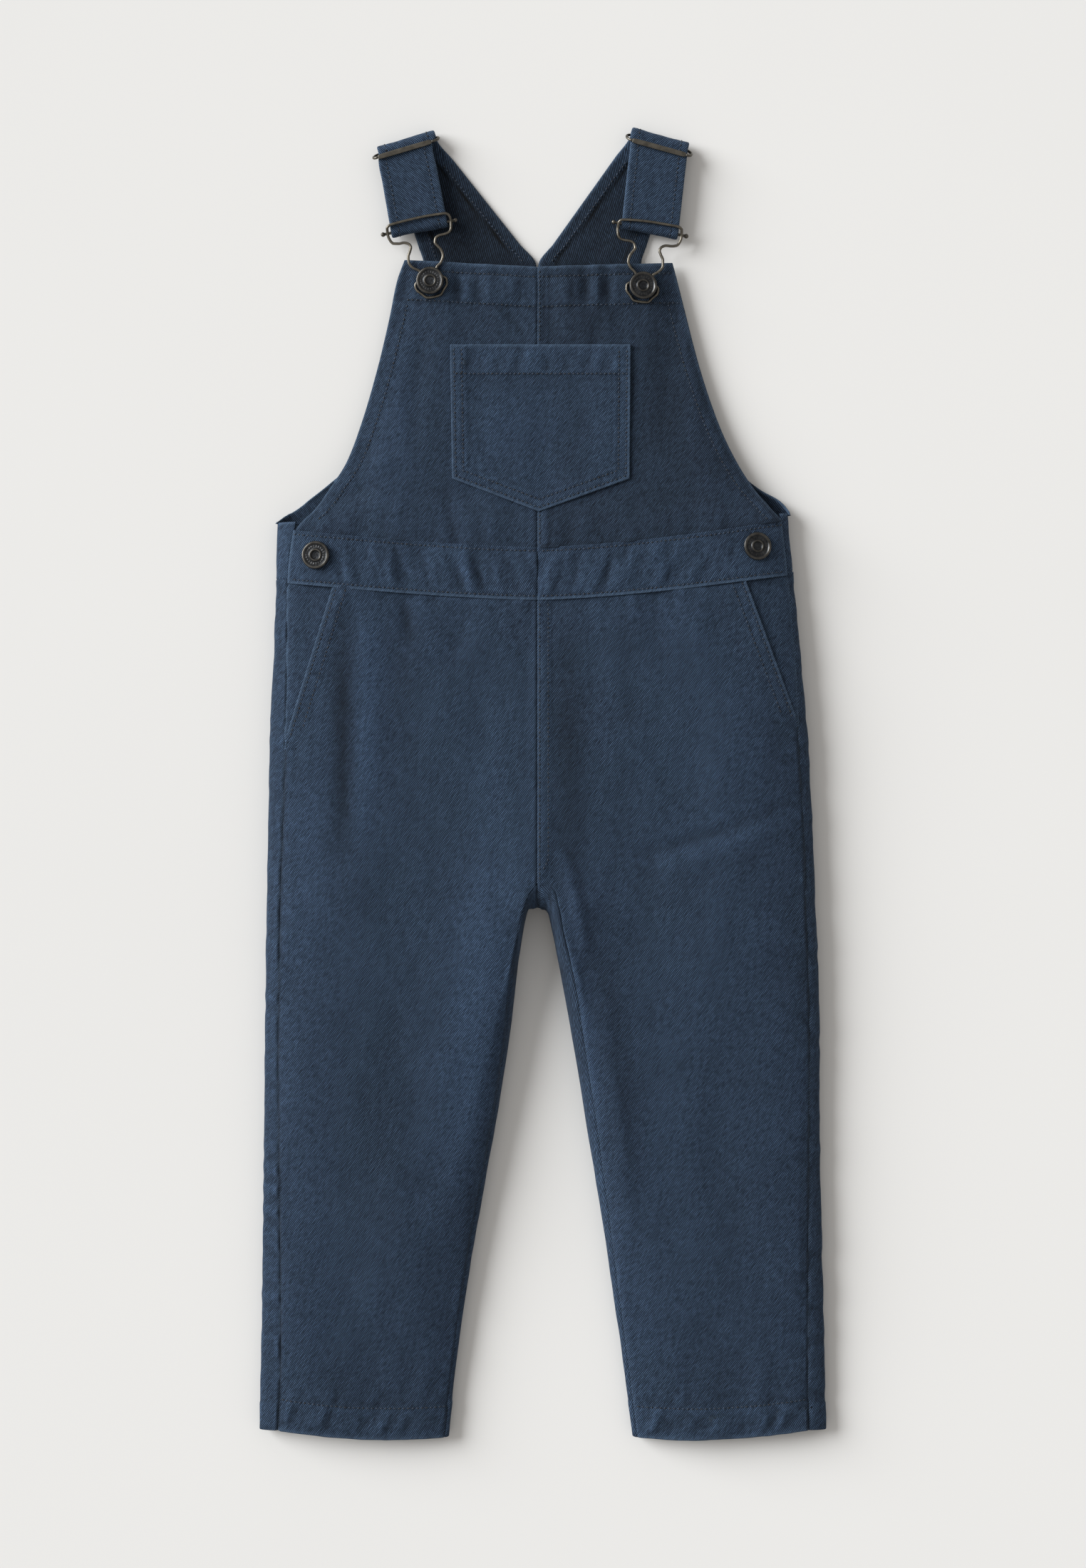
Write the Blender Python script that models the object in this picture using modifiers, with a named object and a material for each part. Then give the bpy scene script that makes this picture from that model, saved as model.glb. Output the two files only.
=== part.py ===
"""Child's denim overalls laid flat on their back, lightly filled by their own cloth.

All sizes are millimetres until the mesh is made. X runs to the right as seen from the
front, Y from the hems up to the shoulder straps, and Z up out of the front. The floor
is Z = 0 and the origin is under the middle of the garment. Left and right are as seen
from the front.

Every panel is a loft: a row of points across the panel for each height on the garment,
worked out from the section tables below, with a wall given to it afterwards.
"""
import math
from collections import namedtuple

import bpy
import numpy as np

MM = 0.001
COLLECTION = "denim_overalls"
LEFT, RIGHT = -1, 1
SIDE_NAME = {LEFT: "left", RIGHT: "right"}

# Cloth and seams
WALL = 1.1
SEAM_SHIFT = 0.15
LAYER_GAP = 0.4
STRAP_WALL = 1.9

# The centre front seam sits a little to the left of the middle
CENTRE_X = -3.5
CROTCH_Y = -61.0

# Moves the tables' origin to the middle of the finished garment's box
ORIGIN_SHIFT = (0.07, -1.35)

# Sections of the whole garment from the waist down: silhouette left and right of the
# middle, how far inside it the outseams lie, the loft of the front, the height of the
# widest point, and how far in from the side the front keeps rising.
Body = namedtuple("Body", "y left right left_seam right_seam loft side roll")
BODY = (
    Body(165, 161.5, 149.0, 12.0, 5.0, 19.0, 8.0, 50),
    Body(124, 162.5, 152.5, 8.0, 4.0, 21.0, 8.5, 52),
    Body(65, 164.5, 158.0, 9.5, 4.5, 23.0, 9.0, 56),
    Body(25, 166.5, 161.5, 10.5, 6.5, 24.0, 9.0, 60),
    Body(-45, 167.5, 165.0, 9.0, 6.0, 24.0, 9.0, 62),
    Body(-76, 168.0, 166.0, 8.5, 6.5, 24.0, 9.0, 62),
    Body(-130, 169.0, 168.0, 8.5, 6.5, 22.5, 8.5, 58),
    Body(-220, 170.0, 169.0, 9.5, 7.5, 20.0, 8.0, 52),
    Body(-300, 171.0, 170.5, 11.5, 9.5, 17.5, 7.5, 48),
    Body(-350, 172.0, 171.5, 12.5, 10.5, 15.0, 6.5, 45),
    Body(-400, 172.5, 172.5, 11.0, 11.0, 12.5, 6.0, 42),
)

# Inner edge of each half: the centre seam down to the crotch, then the inside leg.
# The seams lie inside the silhouette. The front falls to it over the seam's inset and
# "fall" more, and "ridge" is the lift of the cloth along the seam round the crotch.
Inner = namedtuple("Inner", "y left right left_seam right_seam fall ridge")
INNER = (
    Inner(60, -3.5, -3.5, 0.0, 0.0, 0.1, 0.0),
    Inner(0, -3.5, -3.5, 0.0, 0.0, 0.1, 1.5),
    Inner(-61, -3.5, -3.5, 0.0, 0.0, 0.1, 3.5),
    Inner(-70, -6.0, -0.5, 1.8, 6.0, 0.1, 3.5),
    Inner(-76, -9.0, 3.0, 2.1, 6.5, 0.1, 3.2),
    Inner(-88, -11.3, 5.3, 3.0, 6.7, 0.1, 3.0),
    Inner(-106, -14.5, 8.5, 3.1, 8.0, 1.5, 2.6),
    Inner(-130, -17.4, 13.5, 3.0, 7.4, 6.0, 2.0),
    Inner(-156, -20.5, 18.0, 2.8, 6.8, 11.0, 1.4),
    Inner(-217, -30.5, 28.0, 2.4, 6.0, 20.0, 0.4),
    Inner(-282, -42.5, 38.5, 2.4, 4.0, 31.0, 0.0),
    Inner(-347, -52.0, 48.0, 2.4, 3.0, 40.0, 0.0),
    Inner(-400, -58.0, 55.0, 2.4, 3.0, 44.0, 0.0),
)
RIDGE_WIDTH = 28.0

# The lower corner of every section rolls onto the floor over this width
FOOT_ROLL = 9.0

# Waist seams: height at the side and at the centre seam, for each side
Line = namedtuple("Line", "left right centre")
BAND_BOTTOM = Line(124.0, 129.0, 113.5)
BAND_TOP = Line(153.5, 159.5, 142.7)
BACK_BAND_BOTTOM = Line(124.0, 129.0, 126.0)
BACK_BAND_TOP = Line(158.5, 164.0, 161.0)

# Slant pocket mouths: top and bottom end, distance from the middle and height
Slant = namedtuple("Slant", "top_x top_y foot_x foot_y")
SLANT = {LEFT: Slant(126.5, 121.0, 155.8, 27.0), RIGHT: Slant(121.5, 125.5, 154.6, 37.0)}
FACING_UNDER_FRONT = 12.0
FACING_UNDER_BACK = 2.5

# Rows across a trouser front: height at the outer and the inner edge, and how far the
# middle hangs
PanelRow = namedtuple("PanelRow", "outer inner dip")
FRONT_ROWS = (
    PanelRow(99, 91, 0), PanelRow(74, 69, 0), PanelRow(50, 47, 0), PanelRow(27, 25, 0),
    PanelRow(0, -2, 0), PanelRow(-26, -28, 0),
)
LEG_ROWS = (
    PanelRow(-124, -116, 0), PanelRow(-156, -150, 0), PanelRow(-195, -195, 0),
    PanelRow(-238, -238, 0), PanelRow(-280, -280, 0), PanelRow(-318, -319, 0.5),
    PanelRow(-350, -353, 1.5), PanelRow(-376, -380.5, 3), PanelRow(-392.5, -397.3, 3.5),
)
# Below the crotch the back climbs as a wall from the floor (foot) over its widest point
# (bulge) to the seam with the front (top). Station 0 is the seat seam.
Crotch = namedtuple("Crotch", "station top_x top_y bulge_x bulge_y foot_x foot_y")
CROTCH = {
    LEFT: (
        Crotch(0.0, -3.5, -61.0, -3.5, -76.3, -3.5, -71.0), Crotch(0.2, -6.4, -63.6, -5.6, -76.3, -7.5, -70.6),
        Crotch(0.4, -9.2, -67.9, -6.9, -76.2, -12.5, -70.5), Crotch(0.6, -11.3, -74.0, -8.6, -76.2, -17.0, -75.0),
        Crotch(0.8, -13.9, -84.0, -10.9, -84.8, -20.0, -85.2), Crotch(1.0, -17.6, -106.0, -14.6, -106.8, -24.0, -107.6),
    ),
    RIGHT: (
        Crotch(0.0, -3.5, -61.0, -3.5, -76.3, -3.5, -71.0), Crotch(0.2, 3.2, -61.4, -1.0, -76.3, 0.6, -70.4),
        Crotch(0.4, 7.6, -65.0, 1.5, -76.7, 6.5, -70.5), Crotch(0.6, 9.7, -74.0, 3.4, -79.0, 12.0, -75.5),
        Crotch(0.8, 11.9, -86.0, 5.2, -87.4, 14.2, -87.4), Crotch(1.0, 16.5, -106.0, 8.8, -107.2, 18.0, -107.6),
    ),
}
BULGE_LIFT = 0.4
# Front rows that end on the crotch seam: station, height at the outer edge, bend
CrotchFront = namedtuple("CrotchFront", "station outer bend")
CROTCH_FRONT = (
    CrotchFront(0.0, -46, 12), CrotchFront(0.2, -60, 8), CrotchFront(0.4, -74, 4),
    CrotchFront(0.6, -88, 4), CrotchFront(0.8, -105, 4),
)
# Back rows round the crotch: height at the outseam, station where the row leaves the
# floor, and the station and part of the wall's height where it ends
CrotchBack = namedtuple("CrotchBack", "outer foot station lift")
CROTCH_BACK = (
    CrotchBack(-66, 0.22, 0.0, 0.28), CrotchBack(-73, 0.42, 0.0, 0.55), CrotchBack(-80, 0.58, 0.0, 0.78),
    CrotchBack(-87, 0.70, 0.0, 1.0), CrotchBack(-93, 0.79, 0.2, 1.0), CrotchBack(-99, 0.86, 0.4, 1.0),
    CrotchBack(-105, 0.92, 0.6, 1.0), CrotchBack(-111, 0.98, 0.8, 1.0),
)
SEAT_ROWS = (100, 75, 50, 27, 0, -30, -56)

# Bib: half widths of its curved sides, and the loft and edge height
Bib = namedtuple("Bib", "y left right loft edge")
BIB = (
    Bib(150, 152.0, 149.5, 20.0, 15.0), Bib(157, 147.5, 147.0, 19.0, 14.0),
    Bib(168, 137.0, 137.5, 17.5, 12.5), Bib(180, 129.0, 127.5, 16.2, 11.0),
    Bib(195, 119.5, 118.0, 15.0, 9.6), Bib(217, 111.0, 107.5, 13.2, 8.2),
    Bib(252, 100.7, 95.5, 11.0, 7.0), Bib(282, 93.5, 87.5, 9.6, 6.6),
    Bib(308, 88.0, 81.0, 8.8, 6.4), Bib(319, 84.0, 78.0, 8.6, 6.4),
)
BIB_ROLL = 45.0
BIB_TOP = Line(318.8, 317.0, 314.3)
BIB_ROWS = (0.0, 0.04, 0.1, 0.19, 0.32, 0.47, 0.63, 0.8, 0.93, 1.0)
BIB_BLEND = (150.0, 178.0)

# Bib pocket corners
POCKET_TOP = 266.7
POCKET_TOP_HALF = (-56.0, 52.8)
POCKET_FOOT_HALF = (-54.6, 52.0)
POCKET_SIDE_FOOT = 185.5
POCKET_TIP = 165.5

# Back bib: armhole edge on each side and how high its rim stands off the floor
BackBib = namedtuple("BackBib", "y left right rim")
BACK_BIB = (
    BackBib(158, 161.0, 148.5, 8.5), BackBib(164, 161.5, 149.5, 8.0), BackBib(168, 158.0, 147.5, 6.5),
    BackBib(172, 151.0, 144.0, 4.8), BackBib(179, 141.0, 133.0, 2.4), BackBib(188, 129.5, 122.0, 0.9),
    BackBib(196, 120.0, 113.0, 0.2), BackBib(215, 104.0, 97.0, 0.0), BackBib(240, 91.0, 86.0, 0.0),
    BackBib(270, 81.0, 75.0, 0.0), BackBib(311, 73.0, 60.0, 0.0),
)
BACK_BIB_TOP = 311.0
BACK_BIB_ROWS = (164.5, 168.0, 172.0, 179.0, 188.0, 200.0, 220.0, 245.0, 278.0)
RIM_WIDTH = 10.0

# Straps: the seam behind the bib, the fold at the shoulder and the buckle's cross pin,
# each as an outer and an inner end in X and Y
Strap = namedtuple("Strap", "seam_out seam_in vee fold_out fold_in front_out front_in pin_out pin_in bow")
STRAP = {
    LEFT: Strap((-73.0, 311.4), (-3.9, 311.4), (-4.2, 317.4), (-100.2, 384.2), (-65.2, 394.4),
                (-100.2, 380.0), (-67.4, 389.7), (-92.6, 335.9), (-58.4, 342.7), 2.5),
    RIGHT: Strap((60.0, 311.4), (-3.1, 311.4), (-2.8, 317.4), (88.2, 386.5), (53.4, 396.2),
                 (87.6, 381.2), (53.2, 390.7), (82.4, 334.9), (48.0, 341.6), -2.5),
}
FRONT_LAYER_Z = 8.45
BACK_LAYER_Z = STRAP_WALL / 2
PIN_RADIUS = 0.9
PIN_LAYER = PIN_RADIUS + 0.3 + STRAP_WALL / 2
RETURN_LENGTH = 0.74

# Strap metal
WIRE_RADIUS = 0.75
PIN_OVERHANG = 3.6
PIN_BALL = 1.35
SLIDER_THICK = 1.3
SLIDER_WIDE = 2.6
SLIDER_HALF = 17.0
SLIDER_UP = 1.2
SLIDER_REACH = 4.0

# Half outline of the buckle wire below its top bar: distance down the buckle's middle,
# half width there, and height above the strap's front face or the bib
BuckleStep = namedtuple("BuckleStep", "down half lift")
BUCKLE = (
    BuckleStep(0.0, 14.5, 2.3), BuckleStep(0.3, 17.2, 2.3), BuckleStep(1.8, 19.2, 1.8),
    BuckleStep(5.4, 19.6, 0.1), BuckleStep(9.2, 18.9, 0.0), BuckleStep(11.4, 17.2, 0.1),
    BuckleStep(12.1, 14.2, 0.3), BuckleStep(12.2, 11.2, 0.5), BuckleStep(13.6, 8.4, 0.8),
    BuckleStep(16.0, 7.5, 1.1), BuckleStep(18.4, 8.6, 1.3), BuckleStep(21.4, 10.2, 1.5),
    BuckleStep(25.0, 10.6, 1.6), BuckleStep(28.4, 8.8, 1.6), BuckleStep(31.2, 5.4, 1.6),
    BuckleStep(33.6, 4.3, 1.6), BuckleStep(36.4, 6.6, 1.6), BuckleStep(39.4, 9.6, 1.6),
    BuckleStep(42.0, 9.4, 1.6), BuckleStep(45.2, 6.8, 1.6), BuckleStep(48.0, 4.0, 1.6),
)
BUCKLE_BASE_Z = 8.3
BUTTON_DOWN = 38.8

# Buttons: place on the front and the turned profile, radius and height
BIB_BUTTON = {LEFT: (-68.4, 305.8), RIGHT: (60.6, 302.8)}
SIDE_BUTTON = {LEFT: (-137.3, 138.4), RIGHT: (129.5, 143.8)}
BIB_SHANK = 3.2
SIDE_SHANK = 0.6
Turn = namedtuple("Turn", "radius height")
BUTTON_HEAD = (
    Turn(7.7, 0.0), Turn(8.5, 0.7), Turn(8.5, 1.4), Turn(8.0, 2.0), Turn(7.0, 2.0),
    Turn(6.5, 1.5), Turn(4.3, 1.4), Turn(3.8, 2.0), Turn(3.0, 2.0), Turn(2.6, 1.2),
)
BUTTON_SHANK_RADIUS = 2.4
BUTTON_STEPS = 20

# Finish colours as sRGB hex
DENIM = "#34465B"
DENIM_DARK = "#27374A"
GUNMETAL = "#3A3A39"


def column(table, name):
    """A table's first column and one named column, in rising order of the first."""
    rows = sorted(table)
    return np.array([row[0] for row in rows], float), np.array([getattr(row, name) for row in rows], float)


def follow(table, name, y):
    """A named column at y of the first one, on a smooth curve that never overshoots."""
    heights, values = column(table, name)
    step = np.diff(heights)
    slope = np.diff(values) / step
    tangent = np.zeros_like(values)
    tangent[0], tangent[-1] = slope[0], slope[-1]
    before, after = slope[:-1], slope[1:]
    agree = before * after > 0
    weight_a = 2 * step[1:] + step[:-1]
    weight_b = step[1:] + 2 * step[:-1]
    safe_before = np.where(agree, before, 1.0)
    safe_after = np.where(agree, after, 1.0)
    harmonic = (weight_a + weight_b) / (weight_a / safe_before + weight_b / safe_after)
    tangent[1:-1] = np.where(agree, harmonic, 0.0)
    y = np.clip(np.asarray(y, float), heights[0], heights[-1])
    i = np.clip(np.searchsorted(heights, y) - 1, 0, len(heights) - 2)
    t = (y - heights[i]) / step[i]
    low = (1 + 2 * t) * (1 - t) ** 2 * values[i] + t * (1 - t) ** 2 * step[i] * tangent[i]
    high = t ** 2 * (3 - 2 * t) * values[i + 1] + t ** 2 * (t - 1) * step[i] * tangent[i + 1]
    return low + high


def rise(distance, reach):
    """Quarter ellipse: 0 at an edge, 1 once the distance is the whole reach."""
    t = np.clip(distance / reach, 0.0, 1.0)
    return np.sqrt(np.maximum(1 - (1 - t) ** 2, 0.0))


def ease(t):
    """Smooth step from 0 to 1."""
    t = np.clip(t, 0.0, 1.0)
    return t * t * (3 - 2 * t)


def outer_x(side, y):
    """Silhouette of the garment's side."""
    return side * follow(BODY, SIDE_NAME[side], y)


def outseam_x(side, y):
    """The outseam, inside the silhouette on the front."""
    return side * (follow(BODY, SIDE_NAME[side], y) - follow(BODY, SIDE_NAME[side] + "_seam", y))


def inner_x(side, y):
    """Centre seam above the crotch, silhouette of the inside leg below it."""
    return follow(INNER, SIDE_NAME[side], y)


def inseam_x(side, y):
    """The inside leg seam, inside the silhouette on the front."""
    return inner_x(side, y) + side * follow(INNER, SIDE_NAME[side] + "_seam", y)


def front_height(side, x, y):
    """Height of the trousers' and waistband's outer face over a point of the plan."""
    x, y = np.broadcast_arrays(np.asarray(x, float), np.asarray(y, float))
    widest = follow(BODY, "side", y)
    from_side = side * (outer_x(side, y) - x)
    from_inside = side * (x - inner_x(side, y))
    reach = follow(INNER, "fall", y) + follow(INNER, SIDE_NAME[side] + "_seam", y)
    fall = np.where(y >= CROTCH_Y, 1.0, rise(from_inside, reach))
    crown = (follow(BODY, "loft", y) - widest) * rise(from_side, follow(BODY, "roll", y))
    ridge = follow(INNER, "ridge", y) * np.exp(-((x - inseam_x(side, y)) / RIDGE_WIDTH) ** 2)
    return widest + (crown + ridge) * fall


def bib_height(side, x, y):
    """Height of the bib's outer face, blended into the waistband at its foot."""
    x, y = np.broadcast_arrays(np.asarray(x, float), np.asarray(y, float))
    edge = follow(BIB, "edge", y)
    from_edge = follow(BIB, SIDE_NAME[side], y) - side * x
    arch = np.sin(np.pi / 2 * np.clip(from_edge / BIB_ROLL, 0.0, 1.0))
    bib = edge + (follow(BIB, "loft", y) - edge) * arch
    low, high = BIB_BLEND
    return bib + (front_height(side, x, y) - bib) * (1 - ease((y - low) / (high - low)))


def surface_normal(height, side, x, y, step=0.5):
    """Unit normal of a height function at a point of the plan."""
    slope_x = (height(side, x + step, y) - height(side, x - step, y)) / (2 * step)
    slope_y = (height(side, x, y + step) - height(side, x, y - step)) / (2 * step)
    normal = np.stack([-slope_x, -slope_y, np.ones_like(slope_x)], axis=-1)
    return normal / np.linalg.norm(normal, axis=-1, keepdims=True)


def stations(length, start_steps, middle_count, end_steps):
    """Distances along a path: fixed steps at both ends and even ones between them."""
    head = np.array(start_steps, float)
    tail = length - np.array(end_steps[::-1], float)
    middle = np.linspace(head[-1], tail[0], middle_count + 1)[1:-1]
    return np.concatenate([head, middle, tail])


def resample(path, start_steps, middle_count, end_steps):
    """Points of a dense path at the given stations along its length.

    The first and the last step run straight on from the seam, so that two panels lie
    in one plane where they meet and their walls stay apart.
    """
    step = np.linalg.norm(np.diff(path, axis=0), axis=1)
    path = path[np.concatenate([[True], step > 1e-6])]
    run = np.concatenate([[0.0], np.cumsum(np.linalg.norm(np.diff(path, axis=0), axis=1))])
    at = stations(run[-1], start_steps, middle_count, end_steps)
    points = np.stack([np.interp(at, run, path[:, axis]) for axis in range(3)], axis=1)
    for end, beside, inner in ((0, 1, 1), (-1, -2, -2)):
        heading = path[inner] - path[end]
        points[beside] = points[end] + heading / np.linalg.norm(heading) * abs(at[beside] - at[end])
    return points


def bezier(a, b, c, d, count=24):
    """Cubic curve from a to d that leaves towards b and arrives from c."""
    t = np.linspace(0.0, 1.0, count)[:, None]
    a, b, c, d = (np.asarray(point, float) for point in (a, b, c, d))
    return (1 - t) ** 3 * a + 3 * t * (1 - t) ** 2 * b + 3 * t ** 2 * (1 - t) * c + t ** 3 * d


def seam_line(line, side, u):
    """Height of a waist seam, u from 0 at the side to 1 at the centre."""
    outer = getattr(line, SIDE_NAME[side])
    return outer + (line.centre - outer) * (1 - (1 - u) ** 1.5)


def side_to_centre(side, x, y):
    """How far a point is from the outseam (0) towards the centre seam (1)."""
    return np.clip((x - outseam_x(side, y)) / (CENTRE_X - outseam_x(side, y)), 0.0, 1.0)


def finish(name, colour, roughness, metallic):
    """A plain material of one colour."""
    channels = [int(colour[i:i + 2], 16) / 255 for i in (1, 3, 5)]
    linear = [c / 12.92 if c <= 0.04045 else ((c + 0.055) / 1.055) ** 2.4 for c in channels]
    material = bpy.data.materials.new(name)
    material.use_nodes = True
    shader = material.node_tree.nodes["Principled BSDF"]
    shader.inputs["Base Color"].default_value = (*linear, 1.0)
    shader.inputs["Roughness"].default_value = roughness
    shader.inputs["Metallic"].default_value = metallic
    return material


def add_object(name, data, colour, roughness=0.9, metallic=0.0):
    """Put mesh or curve data in the garment's collection with its own material."""
    obj = bpy.data.objects.new(name, data)
    data.materials.append(finish(name, colour, roughness, metallic))
    bpy.data.collections[COLLECTION].objects.link(obj)
    return obj


def add_panel(name, grid, wall=WALL, colour=DENIM, facing_up=True, middle=False):
    """Cloth panel: an open sheet through a grid of points, then its wall.

    The sheet is the panel's outer face and the wall goes inwards, or both ways from a
    middle sheet. facing_up says whether most of the outer face looks up or down.
    """
    points = np.asarray(grid, float)
    rows, columns = points.shape[:2]
    index = np.arange(rows * columns).reshape(rows, columns)
    faces = np.stack([index[:-1, :-1], index[:-1, 1:], index[1:, 1:], index[1:, :-1]], axis=-1).reshape(-1, 4)
    flat = points.reshape(-1, 3)
    corner = flat[faces]
    up = np.cross(corner[:, 2] - corner[:, 0], corner[:, 3] - corner[:, 1])[:, 2].sum() > 0
    if up != facing_up:
        faces = faces[:, ::-1]
    mesh = bpy.data.meshes.new(name)
    mesh.from_pydata((flat * MM).tolist(), [], faces.tolist())
    mesh.validate()
    mesh.shade_smooth()
    obj = add_object(name, mesh, colour)
    solid = obj.modifiers.new("wall", "SOLIDIFY")
    solid.thickness = wall * MM
    solid.offset = 0.0 if middle else -1.0
    solid.use_even_offset = True
    solid.thickness_clamp = 0.0
    return obj


def front_row(side, start, end, y_start, y_end, dip=0.0, bend=1.0, height=front_height):
    """One row across a front panel, from its outer to its inner edge."""
    t = (1 - np.cos(np.pi * np.linspace(0.0, 1.0, 161))) / 2
    x = start + (end - start) * t
    y = y_start + (y_end - y_start) * t ** bend - dip * np.sin(np.pi * t)
    path = np.stack([x, y, height(side, x, y)], axis=1)
    return resample(path, (0.0, 1.2, 5.0, 12.0, 24.0), 4, (0.0, 1.2, 4.0, 9.0, 20.0))


def front_outer_x(side, y):
    """Outer edge of the trouser front: the pocket slant, then the outseam."""
    slant = SLANT[side]
    if y > slant.foot_y:
        t = (y - slant.foot_y) / (slant.top_y - slant.foot_y)
        return side * (slant.foot_x + (slant.top_x - slant.foot_x) * t - SEAM_SHIFT)
    return outseam_x(side, y) - side * SEAM_SHIFT


def waist_row(side):
    """Top row of the trouser front, along the waistband's seam."""
    start = front_outer_x(side, SLANT[side].top_y)
    end = CENTRE_X + side * SEAM_SHIFT
    x = start + (end - start) * np.linspace(0.0, 1.0, 161)
    y = seam_line(BAND_BOTTOM, side, side_to_centre(side, x, SLANT[side].top_y)) - SEAM_SHIFT
    path = np.stack([x, y, front_height(side, x, y)], axis=1)
    return resample(path, (0.0, 1.2, 5.0, 12.0, 24.0), 4, (0.0, 1.2, 4.0, 9.0, 20.0))


def crotch_top(side, station):
    """Point of the crotch seam in plan."""
    return float(follow(CROTCH[side], "top_x", station)), float(follow(CROTCH[side], "top_y", station))


def make_front(side):
    """Front trouser panel from the waistband's seam to the hem."""
    centre = CENTRE_X + side * SEAM_SHIFT
    rows = [waist_row(side)]
    for row in FRONT_ROWS:
        rows.append(front_row(side, front_outer_x(side, row.outer), centre, row.outer, row.inner))
    for row in CROTCH_FRONT:
        x, y = crotch_top(side, row.station)
        shift = 0.0 if row.station > 0.5 else SEAM_SHIFT
        start = front_outer_x(side, row.outer)
        rows.append(front_row(side, start, x + side * SEAM_SHIFT, row.outer, y + shift, bend=row.bend))
    for row in LEG_ROWS:
        end = inseam_x(side, row.inner) + side * SEAM_SHIFT
        rows.append(front_row(side, front_outer_x(side, row.outer), end, row.outer, row.inner, row.dip, 1.6))
    return add_panel("front_" + SIDE_NAME[side], rows)


def round_outside(side, y, seam_to=None):
    """Path from the outseam over the side and down onto the floor at height y."""
    outer, roll, widest = outer_x(side, y), follow(BODY, "roll", y), follow(BODY, "side", y)
    start = side * (outer - (outseam_x(side, y) if seam_to is None else seam_to)) - SEAM_SHIFT
    angle = np.linspace(math.acos(1 - start / roll), 0.0, 20)
    x = outer - side * roll * (1 - np.cos(angle))
    upper = np.stack([x, np.full_like(x, y), front_height(side, x, y)], axis=1)
    angle = np.linspace(0.0, np.pi / 2, 16)[1:]
    x = outer - side * FOOT_ROLL * (1 - np.cos(angle))
    lower = np.stack([x, np.full_like(x, y), widest * (1 - np.sin(angle))], axis=1)
    return np.concatenate([upper, lower])


def crotch_wall(side, station, lift):
    """Points of the back's wall round the crotch, lift from 0 on the floor to 1 at the seam."""
    top, bulge, foot = (
        np.stack([follow(CROTCH[side], name + axis, station) for axis in ("_x", "_y")], axis=-1)
        for name in ("top", "bulge", "foot")
    )
    bulge_z = follow(BODY, "side", bulge[..., 1])
    top_z = front_height(side, top[..., 0], top[..., 1])
    low = np.clip(lift / BULGE_LIFT, 0.0, 1.0) * np.pi / 2
    high = np.clip((lift - BULGE_LIFT) / (1 - BULGE_LIFT), 0.0, 1.0) * np.pi / 2
    plan = foot + (bulge - foot) * np.sin(low)[..., None] + (top - bulge) * (1 - np.cos(high))[..., None]
    z = bulge_z * (1 - np.cos(low)) + (top_z - bulge_z) * np.sin(high)
    return np.concatenate([plan, z[..., None]], axis=-1)


def crotch_climb(side, row):
    """Path from the floor up the wall to the seat seam or the crotch seam."""
    t = np.linspace(0.0, 1.0, 80)
    if row.station > 0.0:
        lift = t
        part = (1 - lift ** 4) ** 2
    elif row.lift == 1.0:
        lift = t
        part = 1 - lift ** 2.5
    else:
        lift = row.lift * np.sin(t * np.pi / 2)
        part = np.cos(t * np.pi / 2)
    path = crotch_wall(side, row.station + (row.foot - row.station) * part, lift)
    if row.station == 0.0:
        shift = (side, -5.0 * row.lift ** 8, 0.0)
    elif row.station < 0.5:
        shift = (-side * row.station * 2, -1.0, 0.0)
    else:
        shift = (-side, 0.0, 0.0)
    return path + np.array(shift) * SEAM_SHIFT


def round_inside(side, outer, inner):
    """Path from the floor up the inside leg to the inseam."""
    angle = np.linspace(np.pi / 2, 0.0, 16)
    y = inner + (outer - inner) * np.linspace(0.25, 0.1, 16)
    x = inner_x(side, y) + side * FOOT_ROLL * (1 - np.cos(angle))
    lower = np.stack([x, y, follow(BODY, "side", y) * (1 - np.sin(angle))], axis=1)
    seam = follow(INNER, SIDE_NAME[side] + "_seam", inner)
    reach = follow(INNER, "fall", inner) + seam
    angle = np.linspace(0.0, math.acos(1 - (seam - SEAM_SHIFT) / reach), 24)
    y = y[-1] + (inner - y[-1]) * np.linspace(0.0, 1.0, 24)
    seam = follow(INNER, SIDE_NAME[side] + "_seam", y)
    part = reach * (1 - np.cos(angle)) / (seam[-1] - SEAM_SHIFT)
    x = inner_x(side, y) + side * (seam - SEAM_SHIFT) * part
    upper = np.stack([x, y, front_height(side, x, y)], axis=1)
    return np.concatenate([lower, upper[1:]])


def back_line(line, x):
    """Height of a back waist seam at x."""
    wide_left, wide_right = -162.0, 151.0
    return line.left + (line.right - line.left) * (x - wide_left) / (wide_right - wide_left)


def back_row(side, y, inside):
    """One row across a trouser back: round the outside, over the floor, to its seam."""
    path = np.concatenate([round_outside(side, y), inside])
    return resample(path, (0.0, 1.0, 4.5, 9.0, 13.0, 17.0, 21.0, 26.0), 5, (0.0, 1.7, 3.8, 6.5, 10.0, 14.5, 20.0))


def make_back(side):
    """Back trouser panel from the waist round the outside, seat and inside leg."""
    centre = CENTRE_X + side * SEAM_SHIFT
    top = getattr(BACK_BAND_BOTTOM, SIDE_NAME[side])
    waist = back_row(side, top, np.array([[centre, top, 0.0]]))
    waist[:, 1] = back_line(BACK_BAND_BOTTOM, waist[:, 0]) - SEAM_SHIFT
    rows = [waist]
    for y in SEAT_ROWS:
        rows.append(back_row(side, y, np.array([[centre, y, 0.0]])))
    for row in CROTCH_BACK:
        rows.append(back_row(side, row.outer, crotch_climb(side, row)))
    for row in LEG_ROWS:
        rows.append(back_row(side, row.outer, round_inside(side, row.outer, row.inner)))
    return add_panel("back_" + SIDE_NAME[side], rows, facing_up=False, colour=DENIM_DARK)


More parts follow.
